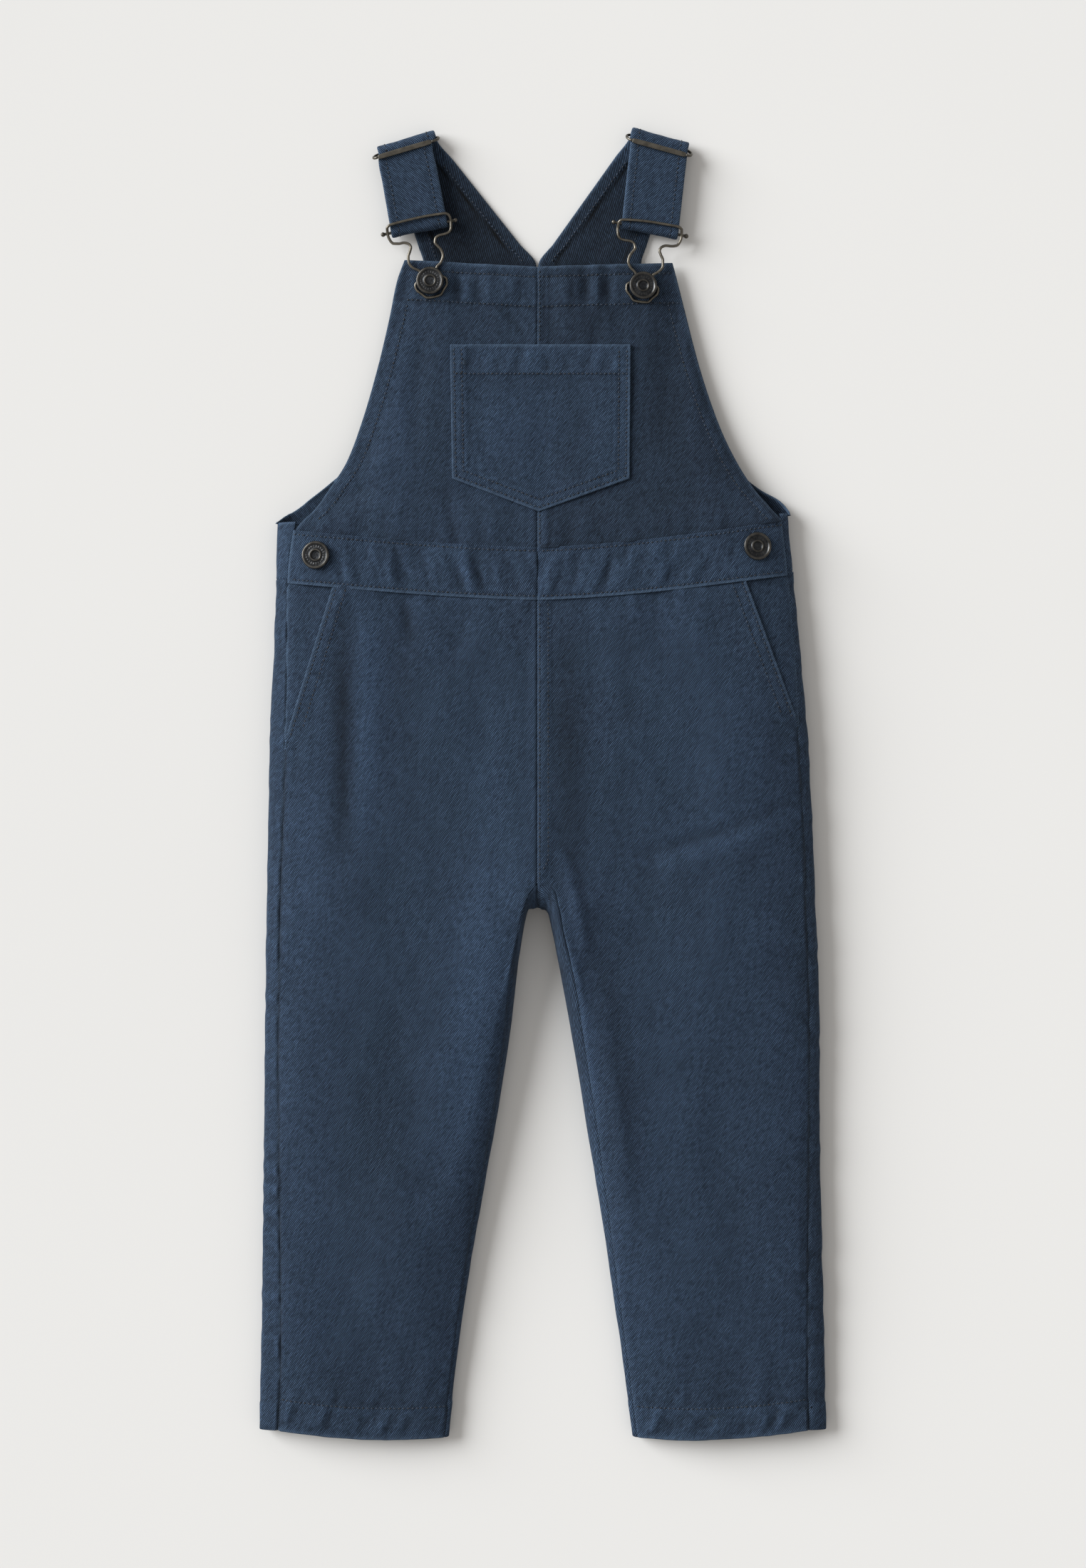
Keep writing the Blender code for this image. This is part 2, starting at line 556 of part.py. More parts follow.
def make_facing(side):
    """Side piece behind the slant pocket mouth, a layer below the front and the back."""
    slant = SLANT[side]
    depth = WALL + LAYER_GAP
    foot = slant.foot_y - 6.0
    rows = []
    for part in np.linspace(0.0, 1.0, 6):
        top = getattr(BAND_BOTTOM, SIDE_NAME[side])
        y = top + (foot - top) * part
        t = (y - slant.foot_y) / (slant.top_y - slant.foot_y)
        mouth = side * (slant.foot_x + (slant.top_x - slant.foot_x) * t)
        start = outseam_x(side, y) + side * min(FACING_UNDER_BACK, 0.5 * abs(outer_x(side, y) - outseam_x(side, y)))
        x = np.linspace(start, mouth - side * FACING_UNDER_FRONT, 6)
        top = seam_line(BAND_BOTTOM, side, side_to_centre(side, x, top)) - 1.2
        y = top + (foot - top) * part
        face = np.stack([x, y, front_height(side, x, y)], axis=1)
        rows.append(face - depth * surface_normal(front_height, side, x, y, 0.25))
    return add_panel("pocket_facing_" + SIDE_NAME[side], rows)


def make_front_band(side):
    """Front waistband from the side button's end to the centre seam."""
    rows = []
    for part in (0.0, 0.5, 1.0):
        low = getattr(BAND_BOTTOM, SIDE_NAME[side]) + SEAM_SHIFT
        high = getattr(BAND_TOP, SIDE_NAME[side]) - SEAM_SHIFT
        y_side = low + (high - low) * part
        x = np.linspace(outseam_x(side, y_side) - side * SEAM_SHIFT, CENTRE_X + side * SEAM_SHIFT, 161)
        u = np.linspace(0.0, 1.0, 161)
        bottom = seam_line(BAND_BOTTOM, side, u) + SEAM_SHIFT
        y = bottom + (seam_line(BAND_TOP, side, u) - SEAM_SHIFT - bottom) * part
        path = np.stack([x, y, front_height(side, x, y)], axis=1)
        rows.append(resample(path, (0.0, 1.2, 5.0, 12.0, 24.0), 4, (0.0, 1.2, 12.0)))
    return add_panel("waistband_front_" + SIDE_NAME[side], rows)


def make_back_band():
    """Back waistband, wrapped round both sides to the front bands."""
    rows = []
    for part in (0.0, 0.5, 1.0):
        halves = []
        for side in (LEFT, RIGHT):
            low = getattr(BACK_BAND_BOTTOM, SIDE_NAME[side])
            y = low + (getattr(BACK_BAND_TOP, SIDE_NAME[side]) - low) * part
            half = resample(np.concatenate([round_outside(side, y), [[CENTRE_X, y, 0.0]]]),
                            (0.0, 1.0, 4.5, 9.0, 13.0, 17.0, 21.0, 26.0), 3, (0.0, 20.0, 40.0))
            halves.append(half)
        row = np.concatenate([halves[0], halves[1][-2::-1]])
        low = back_line(BACK_BAND_BOTTOM, row[:, 0]) + SEAM_SHIFT
        row[:, 1] = low + (back_line(BACK_BAND_TOP, row[:, 0]) - SEAM_SHIFT - low) * part
        rows.append(row)
    return add_panel("waistband_back", rows, facing_up=False, colour=DENIM_DARK)


def make_bib(side):
    """Half of the bib, from the waistband's top seam to the turned top edge."""
    rows = []
    for part in BIB_ROWS:
        u = np.linspace(0.0, 1.0, 161)
        top = getattr(BIB_TOP, SIDE_NAME[side])
        top = top + (BIB_TOP.centre - top) * u
        bottom = seam_line(BAND_TOP, side, u) + SEAM_SHIFT
        y = bottom + (top - bottom) * part
        edge = side * follow(BIB, SIDE_NAME[side], y[0])
        if part == 0.0:
            edge = outseam_x(side, y[0]) - side * SEAM_SHIFT
        x = edge + (CENTRE_X + side * SEAM_SHIFT - edge) * u
        path = np.stack([x, y, bib_height(side, x, y)], axis=1)
        rows.append(resample(path, (0.0, 5.0, 13.0, 25.0), 3, (0.0, 1.2, 12.0)))
    return add_panel("bib_" + SIDE_NAME[side], rows)


def make_pocket():
    """Pointed patch pocket, made from the bib's own points moved out."""
    middle = (CENTRE_X + 1.0 - POCKET_FOOT_HALF[0]) / (POCKET_FOOT_HALF[1] - POCKET_FOOT_HALF[0])
    across = np.concatenate([np.linspace(0.0, middle, 5), np.linspace(middle, 1.0, 5)[1:]])
    point = 1 - np.abs(across - middle) / np.where(across < middle, middle, 1 - middle)
    foot = POCKET_SIDE_FOOT + (POCKET_TIP - POCKET_SIDE_FOOT) * point
    rows = []
    for down in np.linspace(0.0, 1.0, 7):
        low = POCKET_TOP_HALF[0] + (POCKET_FOOT_HALF[0] - POCKET_TOP_HALF[0]) * down
        high = POCKET_TOP_HALF[1] + (POCKET_FOOT_HALF[1] - POCKET_TOP_HALF[1]) * down
        x = low + (high - low) * across
        y = POCKET_TOP + (foot - POCKET_TOP) * down
        z = np.where(x < CENTRE_X, bib_height(LEFT, x, y), bib_height(RIGHT, x, y))
        rows.append(np.stack([x, y, z + WALL + LAYER_GAP], axis=1))
    return add_panel("bib_pocket", rows)


def make_back_bib():
    """Back above the waistband, on the floor but for the rims of its armholes."""
    rows = []
    ends = (0.0, 2.0, 4.5, 9.0, 16.0)
    for number, y in enumerate((BACK_BIB_ROWS[0],) + BACK_BIB_ROWS + (BACK_BIB_TOP,)):
        left, right = -follow(BACK_BIB, "left", y), follow(BACK_BIB, "right", y)
        x = np.concatenate([left + np.array(ends), np.linspace(left + 16, right - 16, 8)[1:-1],
                            right - np.array(ends[::-1])])
        from_rim = np.clip(np.minimum(x - left, right - x) / RIM_WIDTH, 0.0, 1.0)
        z = follow(BACK_BIB, "rim", y) * (1 - np.sqrt(1 - (1 - from_rim) ** 2))
        heights = np.full_like(x, y)
        if number < 2:
            heights = back_line(BACK_BAND_TOP, x) + (SEAM_SHIFT, 1.4)[number]
        rows.append(np.stack([x, heights, z], axis=1))
    return add_panel("back_bib", rows, facing_up=False, colour=DENIM_DARK)


def point3(pair, z):
    """A plan point at a height."""
    return np.array([pair[0], pair[1], z], float)


def turn_rows(ends, outwards, centre_z, radius, start_up, count):
    """Rows of a half turn about a line: from below it to above it, or the other way.

    ends are the two ends of the row that starts the turn, outwards is the plan
    direction that the turn bulges to, and start_up says that it starts above.
    """
    rows = []
    for number in range(count + 1):
        angle = -np.pi / 2 + np.pi * number / count
        if start_up:
            angle = -angle
        offset = np.array([outwards[0], outwards[1], 0.0]) * radius * math.cos(angle)
        offset[2] = centre_z + radius * math.sin(angle)
        rows.append([point3(end, 0.0) + offset for end in ends])
    return rows


def plan_direction(a, b):
    """Unit plan vector from a to b."""
    step = np.subtract(b, a)
    return step / np.linalg.norm(step)


def make_strap(side):
    """Shoulder strap: up the back, over the slider's wire, down the front, round the
    buckle's pin and back up behind itself to the slider."""
    s = STRAP[side]
    edge_rows = [[point3(s.seam_out, BACK_LAYER_Z), point3(s.seam_in, BACK_LAYER_Z)]]
    steps = 6
    start_out, start_in = np.add(s.seam_out, (0.0, 6.0)), np.array(s.vee)
    for number in range(steps):
        t = number / steps
        bow = np.array([s.bow * 4 * t * (1 - t), 0.0])
        outer = start_out + (np.array(s.fold_out) - start_out) * t + bow
        inner = start_in + (np.array(s.fold_in) - start_in) * t
        edge_rows.append([point3(outer, BACK_LAYER_Z), point3(inner, BACK_LAYER_Z)])
    along = plan_direction(s.fold_out, s.fold_in)
    up_strap = np.array([-along[1], along[0]]) * (1 if side == LEFT else -1)
    fold_radius = (FRONT_LAYER_Z - BACK_LAYER_Z) / 2
    fold_z = (FRONT_LAYER_Z + BACK_LAYER_Z) / 2
    edge_rows += turn_rows((s.fold_out, s.fold_in), up_strap, fold_z, fold_radius, False, 8)
    for t in (0.0, 0.33, 0.66, 0.9):
        outer = np.array(s.front_out) + np.subtract(s.pin_out, s.front_out) * t
        inner = np.array(s.front_in) + np.subtract(s.pin_in, s.front_in) * t
        edge_rows.append([point3(outer, FRONT_LAYER_Z), point3(inner, FRONT_LAYER_Z)])
    along = plan_direction(s.pin_out, s.pin_in)
    down_strap = np.array([along[1], -along[0]]) * (1 if side == LEFT else -1)
    pin_z = FRONT_LAYER_Z - PIN_LAYER
    edge_rows += turn_rows((s.pin_out, s.pin_in), down_strap, pin_z, PIN_LAYER, True, 6)
    for t in (0.12, 0.4, RETURN_LENGTH):
        outer = np.array(s.pin_out) + np.subtract(s.front_out, s.pin_out) * t
        inner = np.array(s.pin_in) + np.subtract(s.front_in, s.pin_in) * t
        edge_rows.append([point3(outer, pin_z - PIN_LAYER), point3(inner, pin_z - PIN_LAYER)])
    across = np.linspace(0.0, 1.0, 4)[:, None]
    grid = [outer + (inner - outer) * across for outer, inner in edge_rows]
    return add_panel("strap_" + SIDE_NAME[side], grid, wall=STRAP_WALL, middle=True)


def add_wire(name, points, radius, closed=False):
    """Bent round wire through the points, as a curve with a round bevel."""
    curve = bpy.data.curves.new(name, "CURVE")
    curve.dimensions = "3D"
    curve.bevel_depth = radius * MM
    curve.bevel_resolution = 2
    curve.use_fill_caps = not closed
    spline = curve.splines.new("POLY")
    spline.points.add(len(points) - 1)
    for knot, point in zip(spline.points, points):
        knot.co = (point[0] * MM, point[1] * MM, point[2] * MM, 1.0)
    spline.use_cyclic_u = closed
    return add_object(name, curve, GUNMETAL, 0.4, 0.9)


def buckle_frame(side):
    """Buckle's origin at the middle of its top bar, its downward and sideways axes."""
    s = STRAP[side]
    pin_middle = (np.array(s.pin_out) + np.array(s.pin_in)) / 2
    down = plan_direction(pin_middle, BIB_BUTTON[side])
    top = np.array(BIB_BUTTON[side]) - down * BUTTON_DOWN
    return top, down, np.array([-down[1], down[0]])


def make_buckle(side):
    """Closed bent wire: a bar over the strap, down both sides, round the button's neck."""
    top, down, sideways = buckle_frame(side)
    half = []
    for step in BUCKLE:
        x, y = top + down * step.down + sideways * step.half
        mirror_x, mirror_y = top + down * step.down - sideways * step.half
        z = BUCKLE_BASE_Z + step.lift
        if y < BIB_TOP.centre + 8.0:
            cloth = max(float(bib_height(side, x, y)), float(bib_height(side, mirror_x, mirror_y)))
            z = max(z, cloth + 0.35 + WIRE_RADIUS)
        half.append((step, z))
    path = [(*(top + down * step.down + sideways * step.half), z) for step, z in half]
    path += [(*(top + down * step.down - sideways * step.half), z) for step, z in reversed(half)]
    return add_wire("buckle_" + SIDE_NAME[side], path, WIRE_RADIUS, closed=True)


def add_turned(name, profile, steps, colour=GUNMETAL):
    """Solid turned about Z from a profile of (radius, height) that starts at the bottom."""
    points = [(0.0, 0.0, profile[0][1] * MM)]
    points += [(radius * MM, 0.0, height * MM) for radius, height in profile]
    points.append((0.0, 0.0, profile[-1][1] * MM))
    points.reverse()
    mesh = bpy.data.meshes.new(name)
    mesh.from_pydata(points, [(i, i + 1) for i in range(len(points) - 1)], [])
    obj = add_object(name, mesh, colour, 0.4, 0.9)
    screw = obj.modifiers.new("turn", "SCREW")
    screw.axis = "Z"
    screw.steps = steps
    screw.render_steps = steps
    screw.use_merge_vertices = True
    screw.merge_threshold = 0.00005
    screw.use_normal_calculate = True
    return obj


def make_pin(side):
    """Cross pin with ball ends, through the strap's loop and below the buckle's wire."""
    s = STRAP[side]
    along = plan_direction(s.pin_out, s.pin_in)
    half = np.linalg.norm(np.subtract(s.pin_in, s.pin_out)) / 2 + PIN_OVERHANG
    ball = [(PIN_BALL * math.sin(a), half + PIN_BALL * (1 - math.cos(a))) for a in (0.73, 1.3, 1.9, 2.5)]
    profile = [(r, -z) for r, z in reversed(ball)] + ball
    obj = add_turned("buckle_pin_" + SIDE_NAME[side], profile, 10)
    middle = (np.array(s.pin_out) + np.array(s.pin_in)) / 2
    obj.location = (middle[0] * MM, middle[1] * MM, (FRONT_LAYER_Z - PIN_LAYER) * MM)
    obj.rotation_euler = (0.0, math.pi / 2, math.atan2(along[1], along[0]))
    return obj


def make_slider(side):
    """Slider: a flat bar over the strap, and the wire that runs inside the fold."""
    s = STRAP[side]
    along = plan_direction(s.front_out, s.front_in)
    up_strap = np.array([-along[1], along[0]]) * (1 if side == LEFT else -1)
    middle = (np.array(s.front_out) + np.array(s.front_in)) / 2 + up_strap * SLIDER_UP
    bar_z = FRONT_LAYER_Z + STRAP_WALL / 2 + 0.3 + SLIDER_THICK / 2
    bpy.ops.mesh.primitive_cube_add(size=1.0)
    bar = bpy.context.object
    for owner in list(bar.users_collection):
        owner.objects.unlink(bar)
    bar.name = bar.data.name = "slider_bar_" + SIDE_NAME[side]
    bpy.data.collections[COLLECTION].objects.link(bar)
    bar.data.materials.append(finish(bar.name, GUNMETAL, 0.4, 0.9))
    size = (2 * SLIDER_HALF * MM, SLIDER_WIDE * MM, SLIDER_THICK * MM)
    for vertex in bar.data.vertices:
        vertex.co = [value * scale for value, scale in zip(vertex.co, size)]
    bar.location = (middle[0] * MM, middle[1] * MM, bar_z * MM)
    bar.rotation_euler[2] = math.atan2(along[1], along[0])
    bevel = bar.modifiers.new("edge", "BEVEL")
    bevel.width = 0.45 * MM
    bevel.segments = 2
    bevel.limit_method = "NONE"
    fold_z = (FRONT_LAYER_Z + BACK_LAYER_Z) / 2
    fold_along = plan_direction(s.fold_out, s.fold_in)
    fold_middle = (np.array(s.fold_out) + np.array(s.fold_in)) / 2
    fold_half = np.linalg.norm(np.subtract(s.fold_in, s.fold_out)) / 2
    arms = []
    for sign in (-1, 1):
        start = middle + along * sign * (SLIDER_HALF + 0.3 + WIRE_RADIUS)
        outside = middle + along * sign * (SLIDER_HALF + SLIDER_REACH)
        beside = fold_middle + fold_along * sign * (fold_half + SLIDER_REACH)
        inside = fold_middle + fold_along * sign * (fold_half - 2.0)
        arms.append(bezier((*start, bar_z), (*outside, bar_z - 1.0), (*beside, fold_z), (*inside, fold_z), 8))
    add_wire("slider_wire_" + SIDE_NAME[side], np.concatenate([arms[0], arms[1][::-1]]), WIRE_RADIUS)


def make_button(name, side, place, height, shank):
    """Tack button: shank, flat head with a raised rim and a raised middle ring."""
    x, y = place
    profile = [(BUTTON_SHANK_RADIUS, 0.0), (BUTTON_SHANK_RADIUS, shank)]
    profile += [(turn.radius, shank + turn.height) for turn in BUTTON_HEAD]
    obj = add_turned(name, profile, BUTTON_STEPS)
    normal = surface_normal(height, side, np.float64(x), np.float64(y))
    seat = np.array([x, y, float(height(side, x, y))]) + normal * 0.3
    obj.location = seat * MM
    obj.rotation_euler = (-math.asin(normal[1]), math.atan2(normal[0], normal[2]), 0.0)
    return obj


def clear_scene():
    """Start from an empty file with one collection for the garment."""
    for obj in list(bpy.data.objects):
        bpy.data.objects.remove(obj)
    collection = bpy.data.collections.new(COLLECTION)
    bpy.context.scene.collection.children.link(collection)


def build():
    """Make every piece of the overalls."""
    clear_scene()
    for side in (LEFT, RIGHT):
        make_front(side)
        make_back(side)
        make_facing(side)
        make_front_band(side)
        make_bib(side)
        make_strap(side)
        make_pin(side)
        make_buckle(side)
        make_slider(side)
        make_button("bib_button_" + SIDE_NAME[side], side, BIB_BUTTON[side], bib_height, BIB_SHANK)
        make_button("side_button_" + SIDE_NAME[side], side, SIDE_BUTTON[side], front_height, SIDE_SHANK)
    make_back_band()
    make_pocket()
    make_back_bib()
    for obj in bpy.data.collections[COLLECTION].objects:
        obj.location.x += ORIGIN_SHIFT[0] * MM
        obj.location.y += ORIGIN_SHIFT[1] * MM


build()
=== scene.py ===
"""Looks for a child's denim overalls laid flat on their back.

Every cloth piece is a dense sheet on the outer face of its CAD solid, worked out in
millimetres from the same section tables as the solids, with its own relief: puckers
between rows of stitches, seam ridges, listed creases and turned edges. X runs to
the right as seen from the front, Y from the hems to the straps, Z up out of the front.
"""
from __future__ import annotations

import logging
import math
from collections.abc import Callable
from dataclasses import dataclass, field
from enum import Enum

import bpy
import numpy as np
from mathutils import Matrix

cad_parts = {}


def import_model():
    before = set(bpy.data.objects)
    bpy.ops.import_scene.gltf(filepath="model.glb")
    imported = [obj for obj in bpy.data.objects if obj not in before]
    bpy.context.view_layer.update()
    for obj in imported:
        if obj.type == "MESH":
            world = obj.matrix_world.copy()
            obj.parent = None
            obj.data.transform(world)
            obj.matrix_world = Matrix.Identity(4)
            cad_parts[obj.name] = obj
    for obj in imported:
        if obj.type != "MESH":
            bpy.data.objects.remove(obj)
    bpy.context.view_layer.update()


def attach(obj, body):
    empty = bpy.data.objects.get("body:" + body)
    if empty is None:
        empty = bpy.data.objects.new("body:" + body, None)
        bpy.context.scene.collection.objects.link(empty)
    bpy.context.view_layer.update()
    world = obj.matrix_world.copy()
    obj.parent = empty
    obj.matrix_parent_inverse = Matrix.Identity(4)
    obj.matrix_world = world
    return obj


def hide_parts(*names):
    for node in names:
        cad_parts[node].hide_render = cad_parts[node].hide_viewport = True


Array = np.ndarray
Piece = bpy.types.Object
Socket = bpy.types.NodeSocket
HeightOf = Callable[[Array, Array], Array]
LOG = logging.getLogger("overalls")
MM = 0.001
ORIGIN_SHIFT = np.array([0.07, -1.35, 0.0])
CLOTH_WALL = 1.1
LAYER_GAP = 0.4
CENTRE_X = -3.5
CROTCH_Y = -61.0


class Side(Enum):
    """A half of the garment as seen from the front."""

    LEFT = -1
    RIGHT = 1

    @property
    def sign(self) -> int:
        """-1 on the left and 1 on the right."""
        return self.value

    @property
    def label(self) -> str:
        """Name used in the pieces' names."""
        return self.name.lower()


class Rim(Enum):
    """An edge of a sheet's grid."""

    FIRST_ROW = 0
    LAST_ROW = 1
    FIRST_COLUMN = 2
    LAST_COLUMN = 3


def ease(t: Array) -> Array:
    """Smooth step from 0 to 1: three t squared less two t cubed."""
    t = np.clip(t, 0.0, 1.0)
    return t * t * (3 - 2 * t)


def rise(distance: Array, reach: Array) -> Array:
    """Quarter ellipse: 0 at an edge and 1 once the distance is the whole reach."""
    t = np.clip(distance / reach, 0.0, 1.0)
    return np.sqrt(np.maximum(1 - (1 - t) ** 2, 0.0))


def bell(distance: Array, width: float) -> Array:
    """Bell curve: e to the minus square of distance over width."""
    return np.exp(-(distance / width) ** 2)


def unit(vectors: Array) -> Array:
    """Vectors divided by their lengths."""
    return vectors / np.maximum(np.linalg.norm(vectors, axis=-1, keepdims=True), 1e-12)


def glide(knots: Array, values: Array, at: Array) -> Array:
    """Cubic curve through knots that never overshoots.

    Each piece is a Hermite cubic, and the slope at a knot is the weighted harmonic mean
    of its neighbours' slopes, or 0 where they disagree.

    Args:
        knots: Positions along the first axis of values, in any order.
        values: One value, or an array of them, for each knot.
        at: Positions to read.

    Returns:
        Values at those positions.
    """
    order = np.argsort(knots)
    knots, values = np.asarray(knots, float)[order], np.asarray(values, float)[order]
    at = np.clip(np.asarray(at, float), knots[0], knots[-1])
    step = np.diff(knots).reshape((-1,) + (1,) * (values.ndim - 1))
    slope = np.diff(values, axis=0) / step
    tangent = np.zeros_like(values)
    tangent[0], tangent[-1] = slope[0], slope[-1]
    before, after = slope[:-1], slope[1:]
    agree = before * after > 0
    weight_a, weight_b = 2 * step[1:] + step[:-1], step[1:] + 2 * step[:-1]
    mean = ((weight_a + weight_b) / (weight_a / np.where(agree, before, 1.0)
                                     + weight_b / np.where(agree, after, 1.0)))
    tangent[1:-1] = np.where(agree, mean, 0.0)
    i = np.clip(np.searchsorted(knots, at) - 1, 0, len(knots) - 2)
    t = ((at - knots[i]) / (knots[i + 1] - knots[i])).reshape(at.shape + (1,) * (values.ndim - 1))
    low = (1 + 2 * t) * (1 - t) ** 2 * values[i] + t * (1 - t) ** 2 * step[i] * tangent[i]
    return low + t ** 2 * (3 - 2 * t) * values[i + 1] + t ** 2 * (t - 1) * step[i] * tangent[i + 1]


def run_along(path: Array) -> Array:
    """Length run from the start of a path to each of its points."""
    return np.concatenate([[0.0], np.cumsum(np.linalg.norm(np.diff(path, axis=0), axis=1))])


def even(path: Array, count: int) -> Array:
    """Points at even distances along a path.

    Args:
        path: Points of the path, one a row; columns past the third are carried along.
        count: How many points to return.

    Returns:
        Array of count points.
    """
    step = np.linalg.norm(np.diff(path[:, :3], axis=0), axis=1)
    path = path[np.concatenate([[True], step > 1e-6])]
    run = run_along(path[:, :3])
    at = np.linspace(0.0, run[-1], count)
    return np.stack([np.interp(at, run, path[:, axis]) for axis in range(path.shape[1])], axis=1)


def soft_noise(x: Array, y: Array, cell: tuple[float, float], seed: int) -> Array:
    """Smooth random relief: a seeded lattice of values blended with a smooth step.

    Args:
        x: Plan coordinate in mm.
        y: Plan coordinate in mm.
        cell: Spacing of the lattice in X and Y, in mm.
        seed: Seed of the lattice.

    Returns:
        Values from -1 to 1.
    """
    lattice = np.random.default_rng(seed).uniform(-1.0, 1.0, (61, 67))
    u, v = x / cell[0] + 400.0, y / cell[1] + 400.0
    i, j = np.floor(u).astype(int), np.floor(v).astype(int)
    a, b = ease(u - i), ease(v - j)
    low = lattice[i % 61, j % 67] * (1 - a) + lattice[(i + 1) % 61, j % 67] * a
    high = lattice[i % 61, (j + 1) % 67] * (1 - a) + lattice[(i + 1) % 61, (j + 1) % 67] * a
    return low * (1 - b) + high * b


@dataclass(frozen=True)
class Table:
    """Columns of sizes against the first column, read on a smooth curve."""

    names: str
    rows: tuple[tuple[float, ...], ...]

    def column(self, name: str) -> Array:
        """All values of one column."""
        return np.array(self.rows, float)[:, self.names.split().index(name)]

    def at(self, name: str, key: Array) -> Array:
        """Values of a column where the first column has the given values."""
        return glide(np.array(self.rows, float)[:, 0], self.column(name), key)


@dataclass(frozen=True)
class Crease:
    """A fold or a band along a line: a bell across it that fades towards its ends."""

    start: tuple[float, float]
    end: tuple[float, float]
    width: float
    height: float
    bow: float = 0.0

    def relief(self, x: Array, y: Array) -> Array:
        """Height at plan points: bell of the distance across, times a sine along.

        Args:
            x: X of plan points.
            y: Y of plan points.

        Returns:
            Height over the smooth form.
        """
        dx, dy = self.end[0] - self.start[0], self.end[1] - self.start[1]
        length = math.hypot(dx, dy)
        along = ((x - self.start[0]) * dx + (y - self.start[1]) * dy) / length ** 2
        inside = np.clip(along, 0.0, 1.0)
        across = ((y - self.start[1]) * dx - (x - self.start[0]) * dy) / length
        across = across - self.bow * 4 * inside * (1 - inside)
        return self.height * bell(across, self.width) * np.sin(np.pi * inside) ** 0.7


def creased(creases: tuple[Crease, ...], x: Array, y: Array) -> Array:
    """Sum of the creases' heights at plan points."""
    return sum((crease.relief(x, y) for crease in creases), np.zeros(np.broadcast(x, y).shape))


